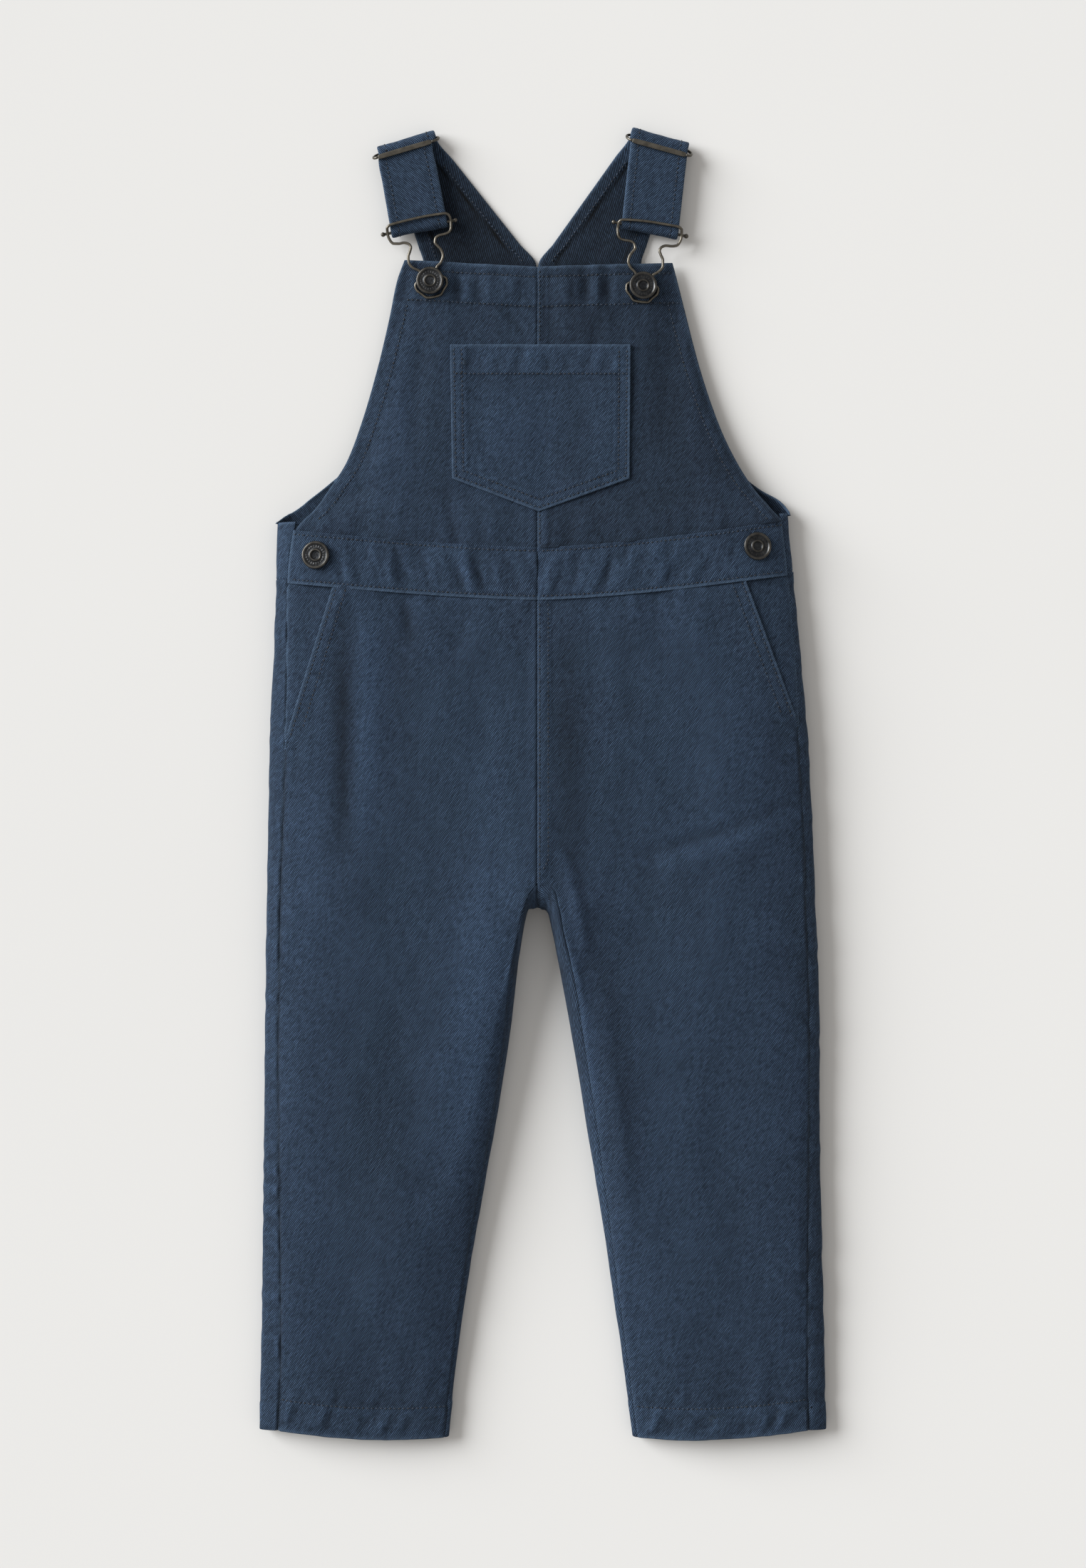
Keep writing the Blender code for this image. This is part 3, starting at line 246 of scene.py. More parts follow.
@dataclass(frozen=True)
class Form:
    """The garment's smooth form, from the same section tables as the CAD solids."""

    body: Table = Table("y left right left_seam right_seam loft side roll", (
        (165, 161.5, 149, 12, 5, 19, 8, 50), (124, 162.5, 152.5, 8, 4, 21, 8.5, 52),
        (65, 164.5, 158, 9.5, 4.5, 23, 9, 56), (25, 166.5, 161.5, 10.5, 6.5, 24, 9, 60),
        (-45, 167.5, 165, 9, 6, 24, 9, 62), (-76, 168, 166, 8.5, 6.5, 24, 9, 62),
        (-130, 169, 168, 8.5, 6.5, 22.5, 8.5, 58), (-220, 170, 169, 9.5, 7.5, 20, 8, 52),
        (-300, 171, 170.5, 11.5, 9.5, 17.5, 7.5, 48), (-350, 172, 171.5, 12.5, 10.5, 15, 6.5, 45),
        (-400, 172.5, 172.5, 11, 11, 12.5, 6, 42)))
    inner: Table = Table("y left right left_seam right_seam fall ridge", (
        (60, -3.5, -3.5, 0, 0, .1, 0), (0, -3.5, -3.5, 0, 0, .1, 1.5),
        (-61, -3.5, -3.5, 0, 0, .1, 3.5),
        (-70, -6, -.5, 1.8, 6, .1, 3.5), (-76, -9, 3, 2.1, 6.5, .1, 3.2),
        (-88, -11.3, 5.3, 3, 6.7, .1, 3),
        (-106, -14.5, 8.5, 3.1, 8, 1.5, 2.6), (-130, -17.4, 13.5, 3, 7.4, 6, 2),
        (-156, -20.5, 18, 2.8, 6.8, 11, 1.4), (-217, -30.5, 28, 2.4, 6, 20, .4),
        (-282, -42.5, 38.5, 2.4, 4, 31, 0), (-347, -52, 48, 2.4, 3, 40, 0),
        (-400, -58, 55, 2.4, 3, 44, 0)))
    bib: Table = Table("y left right loft edge", (
        (150, 152, 149.5, 20, 15), (157, 147.5, 147, 19, 14), (168, 137, 137.5, 17.5, 12.5),
        (180, 129, 127.5, 16.2, 11), (195, 119.5, 118, 15, 9.6), (217, 111, 107.5, 13.2, 8.2),
        (252, 100.7, 95.5, 11, 7), (282, 93.5, 87.5, 9.6, 6.6), (308, 88, 81, 8.8, 6.4),
        (319, 84, 78, 8.6, 6.4)))
    lines: dict[str, tuple[float, float, float]] = field(default_factory=lambda: {
        "band_bottom": (124.0, 129.0, 113.5), "band_top": (153.5, 159.5, 142.7),
        "back_bottom": (124.0, 129.0, 126.0), "back_top": (158.5, 164.0, 161.0)})
    slants: dict[Side, tuple[float, float, float, float]] = field(default_factory=lambda: {
        Side.LEFT: (126.5, 121.0, 155.8, 27.0), Side.RIGHT: (121.5, 125.5, 154.6, 37.0)})
    ridge_width: float = 28.0
    foot_roll: float = 9.0
    bib_roll: float = 45.0
    bib_blend: tuple[float, float] = (150.0, 178.0)

    def outer_x(self, side: Side, y: Array) -> Array:
        """Silhouette of the garment's side."""
        return side.sign * self.body.at(side.label, y)

    def outseam_x(self, side: Side, y: Array) -> Array:
        """The outseam, which lies inside the silhouette on the front."""
        return self.outer_x(side, y) - side.sign * self.body.at(side.label + "_seam", y)

    def inner_x(self, side: Side, y: Array) -> Array:
        """Centre seam above the crotch and silhouette of the inside leg below it."""
        return self.inner.at(side.label, y)

    def inseam_x(self, side: Side, y: Array) -> Array:
        """The inside leg seam, which lies inside the silhouette on the front."""
        return self.inner_x(side, y) + side.sign * self.inner.at(side.label + "_seam", y)

    def front_height(self, side: Side, x: Array, y: Array) -> Array:
        """Height of the trousers' and waistband's outer face.

        The height of the side's widest point, plus the loft that rises on a quarter
        ellipse from the side, plus a bell along the seam at the crotch, both of which
        fall on a quarter ellipse to the inside leg.

        Args:
            side: Half of the garment.
            x: Plan coordinate in mm.
            y: Plan coordinate in mm.

        Returns:
            Heights over the floor in mm.
        """
        x, y = np.broadcast_arrays(np.asarray(x, float), np.asarray(y, float))
        widest = self.body.at("side", y)
        from_side = side.sign * (self.outer_x(side, y) - x)
        from_inside = side.sign * (x - self.inner_x(side, y))
        reach = self.inner.at("fall", y) + self.inner.at(side.label + "_seam", y)
        fall = np.where(y >= CROTCH_Y, 1.0, rise(from_inside, reach))
        crown = (self.body.at("loft", y) - widest) * rise(from_side, self.body.at("roll", y))
        ridge = self.inner.at("ridge", y) * bell(x - self.inseam_x(side, y), self.ridge_width)
        return widest + (crown + ridge) * fall

    def bib_height(self, side: Side, x: Array, y: Array) -> Array:
        """Height of the bib's outer face: a sine arch from its edge, blended into the waistband.

        Args:
            side: Side of the garment.
            x: X of plan points.
            y: Y of plan points.

        Returns:
            Height over the floor.
        """
        x, y = np.broadcast_arrays(np.asarray(x, float), np.asarray(y, float))
        edge = self.bib.at("edge", y)
        inside = self.bib.at(side.label, y) - side.sign * x
        arch = np.sin(np.pi / 2 * np.clip(inside / self.bib_roll, 0.0, 1.0))
        bib = edge + (self.bib.at("loft", y) - edge) * arch
        low, high = self.bib_blend
        return bib + (self.front_height(side, x, y) - bib) * (1 - ease((y - low) / (high - low)))

    def whole_bib_height(self, x: Array, y: Array) -> Array:
        """Height of both bib halves together."""
        return np.where(x < CENTRE_X, self.bib_height(Side.LEFT, x, y),
                        self.bib_height(Side.RIGHT, x, y))

    def seam_line(self, line: str, side: Side, u: Array) -> Array:
        """Height of a front waist seam, u from 0 at the side to 1 at the centre.

        Args:
            line: Name of the seam.
            side: Side of the garment.
            u: Share of the way from the side to the centre.

        Returns:
            Y of the seam.
        """
        left, right, centre = self.lines[line]
        outer = left if side is Side.LEFT else right
        return outer + (centre - outer) * (1 - (1 - u) ** 1.5)

    def across(self, side: Side, x: Array, y: Array) -> Array:
        """How far a point is from the outseam (0) towards the centre seam (1)."""
        outseam = self.outseam_x(side, y)
        return np.clip((x - outseam) / (CENTRE_X - outseam), 0.0, 1.0)

    def line_at(self, line: str, side: Side, x: Array) -> Array:
        """Height of a front waist seam over X."""
        return self.seam_line(line, side, self.across(side, x, np.full(np.shape(x), 130.0)))

    def back_line(self, line: str, x: Array) -> Array:
        """Height of a back waist seam over X, a straight line from side to side."""
        left, right, _ = self.lines[line]
        return left + (right - left) * (x + 162.0) / 313.0

    def front_outer_x(self, side: Side, y: Array) -> Array:
        """Outer edge of the trouser front: the pocket slant, then the outseam.

        Args:
            side: Side of the garment.
            y: Y of plan points.

        Returns:
            X of the edge.
        """
        top_x, top_y, foot_x, foot_y = self.slants[side]
        slant = side.sign * (foot_x + (top_x - foot_x) * (y - foot_y) / (top_y - foot_y))
        return np.where(y > foot_y, slant, self.outseam_x(side, y))

    def hem_y(self, side: Side, x: Array) -> Array:
        """Height of the front hem over X, lower inside and hanging a little in the middle.

        Args:
            side: Side of the garment.
            x: X of plan points.

        Returns:
            Y of the hem.
        """
        low = np.full(np.shape(x), -395.0)
        outer, inner = self.outseam_x(side, low), self.inseam_x(side, low)
        t = np.clip((x - outer) / (inner - outer), 0.0, 1.0)
        return -392.5 - 4.8 * t ** 1.6 - 3.5 * np.sin(np.pi * t)


def roll_edge(radius: float, reach: float = 9.0) -> Array:
    """Turned edge: half a circle round the edge and a flat return under the cloth.

    Args:
        radius: Radius of the turn in mm.
        reach: Width of the return in mm.

    Returns:
        Eight rows of (outwards, inwards) offsets in mm.
    """
    angle = np.radians([30, 60, 90, 120, 150, 180])
    turn = np.stack([radius * np.sin(angle), radius * (1 - np.cos(angle))], axis=1)
    return np.concatenate([turn, [[-reach * 0.4, 2 * radius], [-reach, 2 * radius]]])


def tuck_edge(depth: float = 1.1) -> Array:
    """Seam edge: the cloth dips under its neighbour, as rows of (outwards, inwards) offsets."""
    t = np.linspace(0.125, 1.0, 8)
    return np.stack([0.25 * t, depth * t ** 1.5], axis=1)


@dataclass
class Sheet:
    """A cut piece of cloth as a grid of points on its outer face, in mm."""

    points: Array
    weave: Array
    # Painted light and shade: lighter where light falls or the cloth shines, darker in shade
    tone: Array
    outward_up: bool = True
    # Strength of the painted shade in hollows and of the paler washed ridges
    wash: float = 1.5

    def layers(self) -> Array:
        """Points, normals, weave coordinates, edge wear with painted highlight, and painted light
        and shade side by side.

        Returns:
            Grid of ten values a point.
        """
        along_rows, along_columns = np.gradient(self.points, axis=(0, 1))
        normal = unit(np.cross(along_columns, along_rows))
        if (normal[..., 2].sum() > 0) != self.outward_up:
            normal = -normal
        # Edge wear with painted highlight starts at nothing here; finished adds it along the edges
        wear = np.zeros(self.tone.shape)
        # Painted shade in hollows and paler washed ridges, from how far each point stands over its
        # neighbours
        tone = self.tone + self.wash * self.rub_and_painted_light()
        return np.concatenate([self.points, normal, self.weave, wear[..., None], tone[..., None]],
                              axis=-1)

    def rub_and_painted_light(self) -> Array:
        """How far each point stands over the mean of its neighbours, in mm: washed ridges are
        painted paler, and hollows darker with painted shade.

        Returns:
            Height over the neighbours, positive on ridges.
        """
        height, reach = self.points[..., 2], 3
        padded = np.pad(height, reach, mode="edge")
        summed = np.pad(padded.cumsum(axis=0).cumsum(axis=1), ((1, 0), (1, 0)))
        span = 2 * reach + 1
        mean = (summed[span:, span:] - summed[:-span, span:] - summed[span:, :-span]
                + summed[:-span, :-span]) / span ** 2
        apart = height - mean
        apart[:reach], apart[-reach:], apart[:, :reach], apart[:, -reach:] = 0.0, 0.0, 0.0, 0.0
        return np.clip(apart, -0.6, 0.6)

    @staticmethod
    def turned(layers: Array, rim: Rim) -> Array:
        """The same grid, turned so that the rim is its last row.

        Args:
            layers: Grid of points with all they carry.
            rim: Rim to turn.

        Returns:
            The turned grid.
        """
        if rim in (Rim.FIRST_COLUMN, Rim.LAST_COLUMN):
            layers = layers.transpose(1, 0, 2)
        return layers[::-1] if rim in (Rim.FIRST_ROW, Rim.FIRST_COLUMN) else layers

    @staticmethod
    def turned_back(layers: Array, rim: Rim) -> Array:
        """Undo turned.

        Args:
            layers: Turned grid.
            rim: Rim it was turned for.

        Returns:
            The grid as it was.
        """
        if rim in (Rim.FIRST_ROW, Rim.FIRST_COLUMN):
            layers = layers[::-1]
        return layers.transpose(1, 0, 2) if rim in (Rim.FIRST_COLUMN, Rim.LAST_COLUMN) else layers

    def finished(self, edges: dict[Rim, Array], edge_wear_and_highlight: dict[Rim, float]) -> Array:
        """Carry the grid round its edges.

        Each added row is the edge row moved outwards along the cloth and inwards along
        the normal by the edge's offsets, and is painted darker with shade where it turns under the
        cloth. Edge wear with its painted highlight is a bell of the distance from the edge.

        Args:
            edges: Offsets for each edge, of shape (8, 2) or (8, points, 2).
            edge_wear_and_highlight: How worn each edge is, with its painted highlight, 0 to 1.

        Returns:
            Layers with the added rows and columns.
        """
        layers = self.layers()
        for rim, offsets in edges.items():
            grid = self.turned(layers, rim)
            edge, normal = grid[-1, :, :3], grid[-1, :, 3:6]
            outwards = grid[-1, :, :3] - grid[-3, :, :3]
            outwards = unit(outwards - (outwards * normal).sum(-1, keepdims=True) * normal)
            offsets = offsets if offsets.ndim == 3 else offsets[:, None]
            added = np.repeat(grid[-1:], len(offsets), axis=0)
            added[..., :3] = edge + outwards * offsets[..., :1] - normal * offsets[..., 1:]
            span = np.linalg.norm(np.diff(added[..., :3], axis=0, prepend=edge[None]),
                                  axis=-1).cumsum(axis=0)
            step = (grid[-1, :, 6:8] - grid[-3, :, 6:8])
            added[..., 6:8] = grid[-1, :, 6:8] + unit(step) * span[..., None]
            # Edge rows worn and painted with a highlight; painted shade where the edge turns under
            added[..., 8] = edge_wear_and_highlight.get(rim, 0.0)
            added[..., 9] -= 1.4 * np.clip(offsets[..., 1] - offsets[..., 0], 0.0, 1.0)
            away = np.linalg.norm(np.diff(grid[::-1, :, :3], axis=0, prepend=edge[None]),
                                  axis=-1).cumsum(axis=0)[::-1]
            grid = grid.copy()
            # Edge wear and painted highlight fading inwards from the edge
            grid[..., 8] = np.maximum(grid[..., 8], edge_wear_and_highlight.get(rim, 0.0) * bell(away, 1.1))
            layers = self.turned_back(np.concatenate([grid, added]), rim)
        layers[..., 2] = np.maximum(layers[..., 2], 0.0)
        return layers


def hex_to_linear(colour: str) -> tuple[float, float, float, float]:
    """Linear colour of an sRGB hex value.

    Args:
        colour: Hex value such as #1D2B3D.

    Returns:
        Red, green, blue and 1.
    """
    channels = [int(colour[i:i + 2], 16) / 255 for i in (1, 3, 5)]
    red, green, blue = (c / 12.92 if c <= 0.04045 else ((c + 0.055) / 1.055) ** 2.4
                        for c in channels)
    return red, green, blue, 1.0


def add_node(tree: bpy.types.NodeTree, kind: str, settings: dict | None = None,
             inputs: dict | None = None, output: str | int = 0) -> Socket:
    """Add a node with its settings and links.

    Args:
        tree: Node tree of a material.
        kind: Blender's name of the node type, less its first word.
        settings: Attributes of the node.
        inputs: Value of each input socket, or the socket linked to it, by name or number.
        output: Output socket to return, by name or number.

    Returns:
        One of the node's output sockets.
    """
    node = tree.nodes.new("ShaderNode" + kind)
    for name, value in (settings or {}).items():
        setattr(node, name, value)
    for name, value in (inputs or {}).items():
        if isinstance(value, Socket):
            tree.links.new(value, node.inputs[name])
        else:
            node.inputs[name].default_value = value
    return node.outputs[output]


def set_stops(ramp: Socket, *stops: tuple[float, str]) -> Socket:
    """Set a colour ramp's stops.

    Args:
        ramp: Output of the ramp.
        stops: Place and hex colour of the first stop, of the last, and of those between.

    Returns:
        The same output.
    """
    elements = ramp.node.color_ramp.elements
    for element, (place, colour) in zip(elements, stops):
        element.position, element.color = place, hex_to_linear(colour)
    for place, colour in stops[2:]:
        elements.new(place).color = hex_to_linear(colour)
    return ramp


@dataclass(frozen=True)
class Finish:
    """A finish: each kind paints its own colour and relief, and the rest are constants."""

    bump: tuple[float, float] = (0.0, 0.0)
    shading: tuple[tuple[str, float | str], ...] = ()

    def paint(self, tree: bpy.types.NodeTree) -> tuple[Socket, Socket | None]:
        """Add the nodes for colour and for relief, and return their outputs."""
        raise NotImplementedError

    def make(self, name: str) -> bpy.types.Material:
        """Build the material.

        Args:
            name: Name for the real material.

        Returns:
            The material.
        """
        material = bpy.data.materials.new(name)
        material.use_nodes = True
        tree = material.node_tree
        shader = tree.nodes["Principled BSDF"]
        colour, relief = self.paint(tree)
        tree.links.new(colour, shader.inputs["Base Color"])
        if relief is not None:
            strength, distance = self.bump
            bump = add_node(tree, "Bump", {},
                            {"Strength": strength, "Distance": distance, "Height": relief})
            tree.links.new(bump, shader.inputs["Normal"])
        for socket, value in self.shading:
            shader.inputs[socket].default_value = (hex_to_linear(value) if isinstance(value, str)
                                                   else value)
        return material


@dataclass(frozen=True)
class DenimTwill(Finish):
    """Piece-dyed cotton denim, washed: matt, with fine right-hand twill lines, a soft nap
    that lightens where it is seen edge on, paler threads along edges that are partly wear
    and partly painted highlight, and painted light and shade from a point attribute."""

    bump: tuple[float, float] = (0.55, 0.0002)
    shading: tuple[tuple[str, float | str], ...] = (
        ("Roughness", 0.93), ("Specular IOR Level", 0.25), ("Sheen Weight", 0.13),
        ("Sheen Roughness", 0.42), ("Sheen Tint", "#9DB3CE"))
    dark: str = "#0E1621"
    mid: str = "#1D2B3D"
    light: str = "#4E6581"
    rub_and_painted_light: str = "#5F7690"
    twill_pitch: float = 0.94
    twill_angle: float = 52.0
    slub_length: float = 4.0
    painted_light_share: float = 0.55

    def paint(self, tree: bpy.types.NodeTree) -> tuple[Socket, Socket | None]:
        """Lay the twill on the piece's own map, which is in metres of cloth.

        Args:
            tree: Node tree of the material.

        Returns:
            Outputs for colour and for relief.
        """
        weave = add_node(tree, "UVMap", {"uv_map": "weave"})
        turned = add_node(tree, "Mapping", {}, {
            "Vector": weave, "Scale": (1 / MM, 1 / MM, 1 / MM),
            "Rotation": (0.0, 0.0, math.radians(90.0 - self.twill_angle))})
        # One band of the wave, which is pi tenths long at scale 1, for each real twill line
        lines = add_node(tree, "TexWave", {"wave_type": "BANDS", "bands_direction": "X"}, {
            "Vector": turned, "Scale": 0.31416 / self.twill_pitch, "Distortion": 0.9, "Detail": 2.0,
            "Detail Scale": 1.6}, "Fac")
        stretched = add_node(tree, "Mapping", {},
                             {"Vector": turned, "Scale": (1.4, 1.0 / self.slub_length, 1.0)})
        slubs, nap, wash = (
            add_node(tree, "TexNoise", {},
                     {"Vector": vector, "Scale": scale, "Detail": detail, "Roughness": rough})
            for vector, scale, detail, rough in ((stretched, 1.0, 3.0, 0.6),
                                                 (turned, 0.9, 2.0, 0.7),
                                                 (turned, 0.035, 3.0, 0.55)))
        threads = add_node(tree, "Math", {"operation": "MULTIPLY"}, {0: lines, 1: slubs})
        dyed = set_stops(add_node(tree, "ValToRGB", {}, {"Fac": threads}),
                         (0.05, self.dark), (0.62, self.light), (0.28, self.mid))
        # Two point attributes: painted light and shade, and edge wear with painted highlight
        tone, wear = (add_node(tree, "Attribute", {"attribute_name": name}, {}, "Fac")
                      for name in ("tone", "wear"))
        washed = add_node(tree, "MapRange", {},
                          {"Value": wash, "From Min": 0.3, "From Max": 0.7,
                           "To Min": 0.93, "To Max": 1.07})
        # Painted light and shade darken or lighten the dyed colour, over the random wash
        depth = add_node(tree, "Math", {"operation": "MULTIPLY_ADD"},
                         {0: tone, 1: self.painted_light_share, 2: washed})
        grey = add_node(tree, "CombineColor", {}, {"Red": depth, "Green": depth, "Blue": depth})
        shaded = add_node(tree, "Mix", {"data_type": "RGBA", "blend_type": "MULTIPLY"},
                          {0: 1.0, 6: dyed, 7: grey}, 2)
        # Paler threads where edges are worn, standing also for a painted highlight along them
        rub_and_highlight_mix = add_node(tree, "Math", {"operation": "MULTIPLY"}, {0: wear, 1: slubs})
        colour = add_node(tree, "Mix", {"data_type": "RGBA"},
                          {0: rub_and_highlight_mix, 6: shaded, 7: hex_to_linear(self.rub_and_painted_light)}, 2)
        return colour, add_node(tree, "Math", {"operation": "MULTIPLY_ADD"},
                                {0: nap, 1: 0.5, 2: lines})


@dataclass(frozen=True)
class SewingThread(Finish):
    """Spun polyester sewing thread dyed to the denim: a shade darker and a little glossier
    than the cloth, the darkness standing partly for painted shade of the holes it sits in,
    so rows of stitches show as small dark dashes with a light top."""

    bump: tuple[float, float] = (0.4, 0.0001)
    shading: tuple[tuple[str, float | str], ...] = (("Roughness", 0.6),)
    dark: str = "#090E16"
    light: str = "#2B3A4D"

    def paint(self, tree: bpy.types.NodeTree) -> tuple[Socket, Socket | None]:
        """Mix the dye's two shades, with fine ply twist across each stitch.

        Args:
            tree: Node tree of the material.

        Returns:
            Outputs for colour and for relief.
        """
        place = add_node(tree, "TexCoord", output="Object")
        mixed = add_node(tree, "TexNoise", {}, {"Vector": place, "Scale": 420.0, "Detail": 2.0})
        colour = set_stops(add_node(tree, "ValToRGB", {}, {"Fac": mixed}), (0.35, self.dark),
                           (0.7, self.light))
        return colour, add_node(tree, "TexNoise", {},
                                {"Vector": place, "Scale": 3500.0, "Detail": 1.0})


@dataclass(frozen=True)
class GunmetalPlate(Finish):
    """Brass wire and caps with a dark gunmetal plating, tumbled: satin, nearly black,
    with warmer brass showing faintly where ridges have rubbed, and on the upper half of
    the buckle wire as a painted highlight."""

    bump: tuple[float, float] = (0.25, 0.0001)
    shading: tuple[tuple[str, float | str], ...] = (("Metallic", 0.92), ("Roughness", 0.36))
    dark: str = "#1B1D20"
    light: str = "#45474A"
    rub_and_painted_light: str = "#847D70"

    def paint(self, tree: bpy.types.NodeTree) -> tuple[Socket, Socket | None]:
        """Cloud the plating, pit it finely, and bare the brass on high places and, as a painted
        highlight, on the top of the buckle wire.

        Args:
            tree: Node tree of the material.

        Returns:
            Outputs for colour and for relief.
        """
        place = add_node(tree, "TexCoord", output="Object")
        clouds = add_node(tree, "TexNoise", {},
                          {"Vector": place, "Scale": 260.0, "Detail": 4.0, "Roughness": 0.65})
        plate = set_stops(add_node(tree, "ValToRGB", {}, {"Fac": clouds}), (0.3, self.dark),
                          (0.72, self.light))
        # Worn brass, and a painted highlight on the top of the buckle wire
        wear = add_node(tree, "Attribute", {"attribute_name": "wear"}, {}, "Fac")
        rub_and_highlight_mix = add_node(tree, "Math", {"operation": "MULTIPLY"}, {0: wear, 1: clouds})
        colour = add_node(tree, "Mix", {"data_type": "RGBA"},
                          {0: rub_and_highlight_mix, 6: plate, 7: hex_to_linear(self.rub_and_painted_light)}, 2)
        return colour, add_node(tree, "TexNoise", {},
                                {"Vector": place, "Scale": 2600.0, "Detail": 2.0})


@dataclass(frozen=True)
class PaintedBoard(Finish):
    """Plain pale painted board: nearly white, with a soft grain that only breaks up banding."""

    shading: tuple[tuple[str, float | str], ...] = (("Roughness", 0.9),)
    shades: tuple[str, str] = ("#E7E6E4", "#EAE9E7")

    def paint(self, tree: bpy.types.NodeTree) -> tuple[Socket, Socket | None]:
        """Drift between the paint's two shades.

        Args:
            tree: Node tree of the material.

        Returns:
            Output for colour, and no relief.
        """
        place = add_node(tree, "TexCoord", output="Object")
        grain = add_node(tree, "TexNoise", {}, {"Vector": place, "Scale": 3.0, "Detail": 2.0})
        first, second = (hex_to_linear(shade) for shade in self.shades)
        return add_node(tree, "Mix", {"data_type": "RGBA"}, {0: grain, 6: first, 7: second},
                        2), None


@dataclass(frozen=True)
class Finishes:
    """The garment's three finishes."""

    denim: bpy.types.Material
    thread: bpy.types.Material
    metal: bpy.types.Material


def link_mesh(name: str, vertices: Array | list, faces: list,
              material: bpy.types.Material) -> Piece:
    """Make an object of a mesh and link it to the scene.

    Args:
        name: Piece name.
        vertices: Points in metres.
        faces: Indices of each face's points.
        material: Finish.

    Returns:
        The object.
    """
    mesh = bpy.data.meshes.new(name)
    mesh.from_pydata(vertices, [], faces)
    mesh.materials.append(material)
    obj = bpy.data.objects.new(name, mesh)
    bpy.context.scene.collection.objects.link(obj)
    return obj


def add_surface(name: str, points: Array, material: bpy.types.Material, weave: Array | None = None,
                wear: Array | None = None, tone: Array | None = None, wrap_rows: bool = False,
                wrap_columns: bool = False, poles: bool = False,
                facing: Array | None = None) -> Piece:
    """Make a mesh from a grid of points.

    Faces join each point to the next in its row and column. A wrapped grid joins its
    last row or column to its first. With poles, the first and the last row are each one
    point, and their faces are triangles.

    Args:
        name: Piece name.
        points: Grid of points in mm, of shape (rows, columns, 3).
        material: Finish.
        weave: Cloth coordinates in mm for each point.
        wear: How worn each point is, with a painted highlight along edges and on the top of the
            buckle wire.
        tone: Painted light and shade: how much lighter or darker each point is painted.
        wrap_rows: Whether the last row joins the first.
        wrap_columns: Whether the last column joins the first.
        poles: Whether the first and the last row are poles.
        facing: Outward direction for each point, to turn the faces by.

    Returns:
        The object, linked to the scene.
    """
    rows, columns = points.shape[:2]
    index = np.arange(rows * columns).reshape(rows, columns)
    if wrap_rows:
        index = np.concatenate([index, index[:1]])
    if wrap_columns:
        index = np.concatenate([index, index[:, :1]], axis=1)
    quads = np.stack([index[:-1, :-1], index[:-1, 1:], index[1:, 1:], index[1:, :-1]], axis=-1)
    flat = points.reshape(-1, 3)
    if facing is not None:
        corner = flat[quads.reshape(-1, 4)]
        normal = np.cross(corner[:, 2] - corner[:, 0], corner[:, 3] - corner[:, 1])
        if (normal * facing.reshape(-1, 3)[quads.reshape(-1, 4)[:, 0]]).sum() < 0:
            quads = quads[..., ::-1]
    if poles:
        first, last = quads[0].copy(), quads[-1].copy()
        first[np.isin(first, index[0])] = index[0, 0]
        last[np.isin(last, index[-1])] = index[-1, 0]
        caps = [[v for k, v in enumerate(face) if v != face[k - 1]]
                for face in np.concatenate([first, last]).tolist()]
        faces = quads[1:-1].reshape(-1, 4).tolist() + caps
        keep = np.concatenate([[0], np.arange(columns, (rows - 1) * columns),
                               [(rows - 1) * columns]])
        renumber = np.full(rows * columns, -1)
        renumber[keep] = np.arange(len(keep))
        faces = [[int(renumber[v]) for v in face] for face in faces]
    else:
        faces, keep = quads.reshape(-1, 4).tolist(), np.arange(rows * columns)
    obj = link_mesh(name, (flat[keep] + ORIGIN_SHIFT) * MM, faces, material)
    mesh = obj.data
    mesh.shade_smooth()
    corners = np.empty(len(mesh.loops), dtype=np.int32)
    mesh.loops.foreach_get("vertex_index", corners)
    if weave is not None:
        layer = mesh.uv_layers.new(name="weave")
        layer.data.foreach_set("uv",
                               (weave.reshape(-1,
                                              2)[keep][corners] * MM).astype(np.float32).ravel())
    for label, values in (("wear", wear), ("tone", tone)):
        if values is not None:
            attribute = mesh.attributes.new(label, "FLOAT", "POINT")
            attribute.data.foreach_set("value", values.reshape(-1)[keep].astype(np.float32))
    return obj


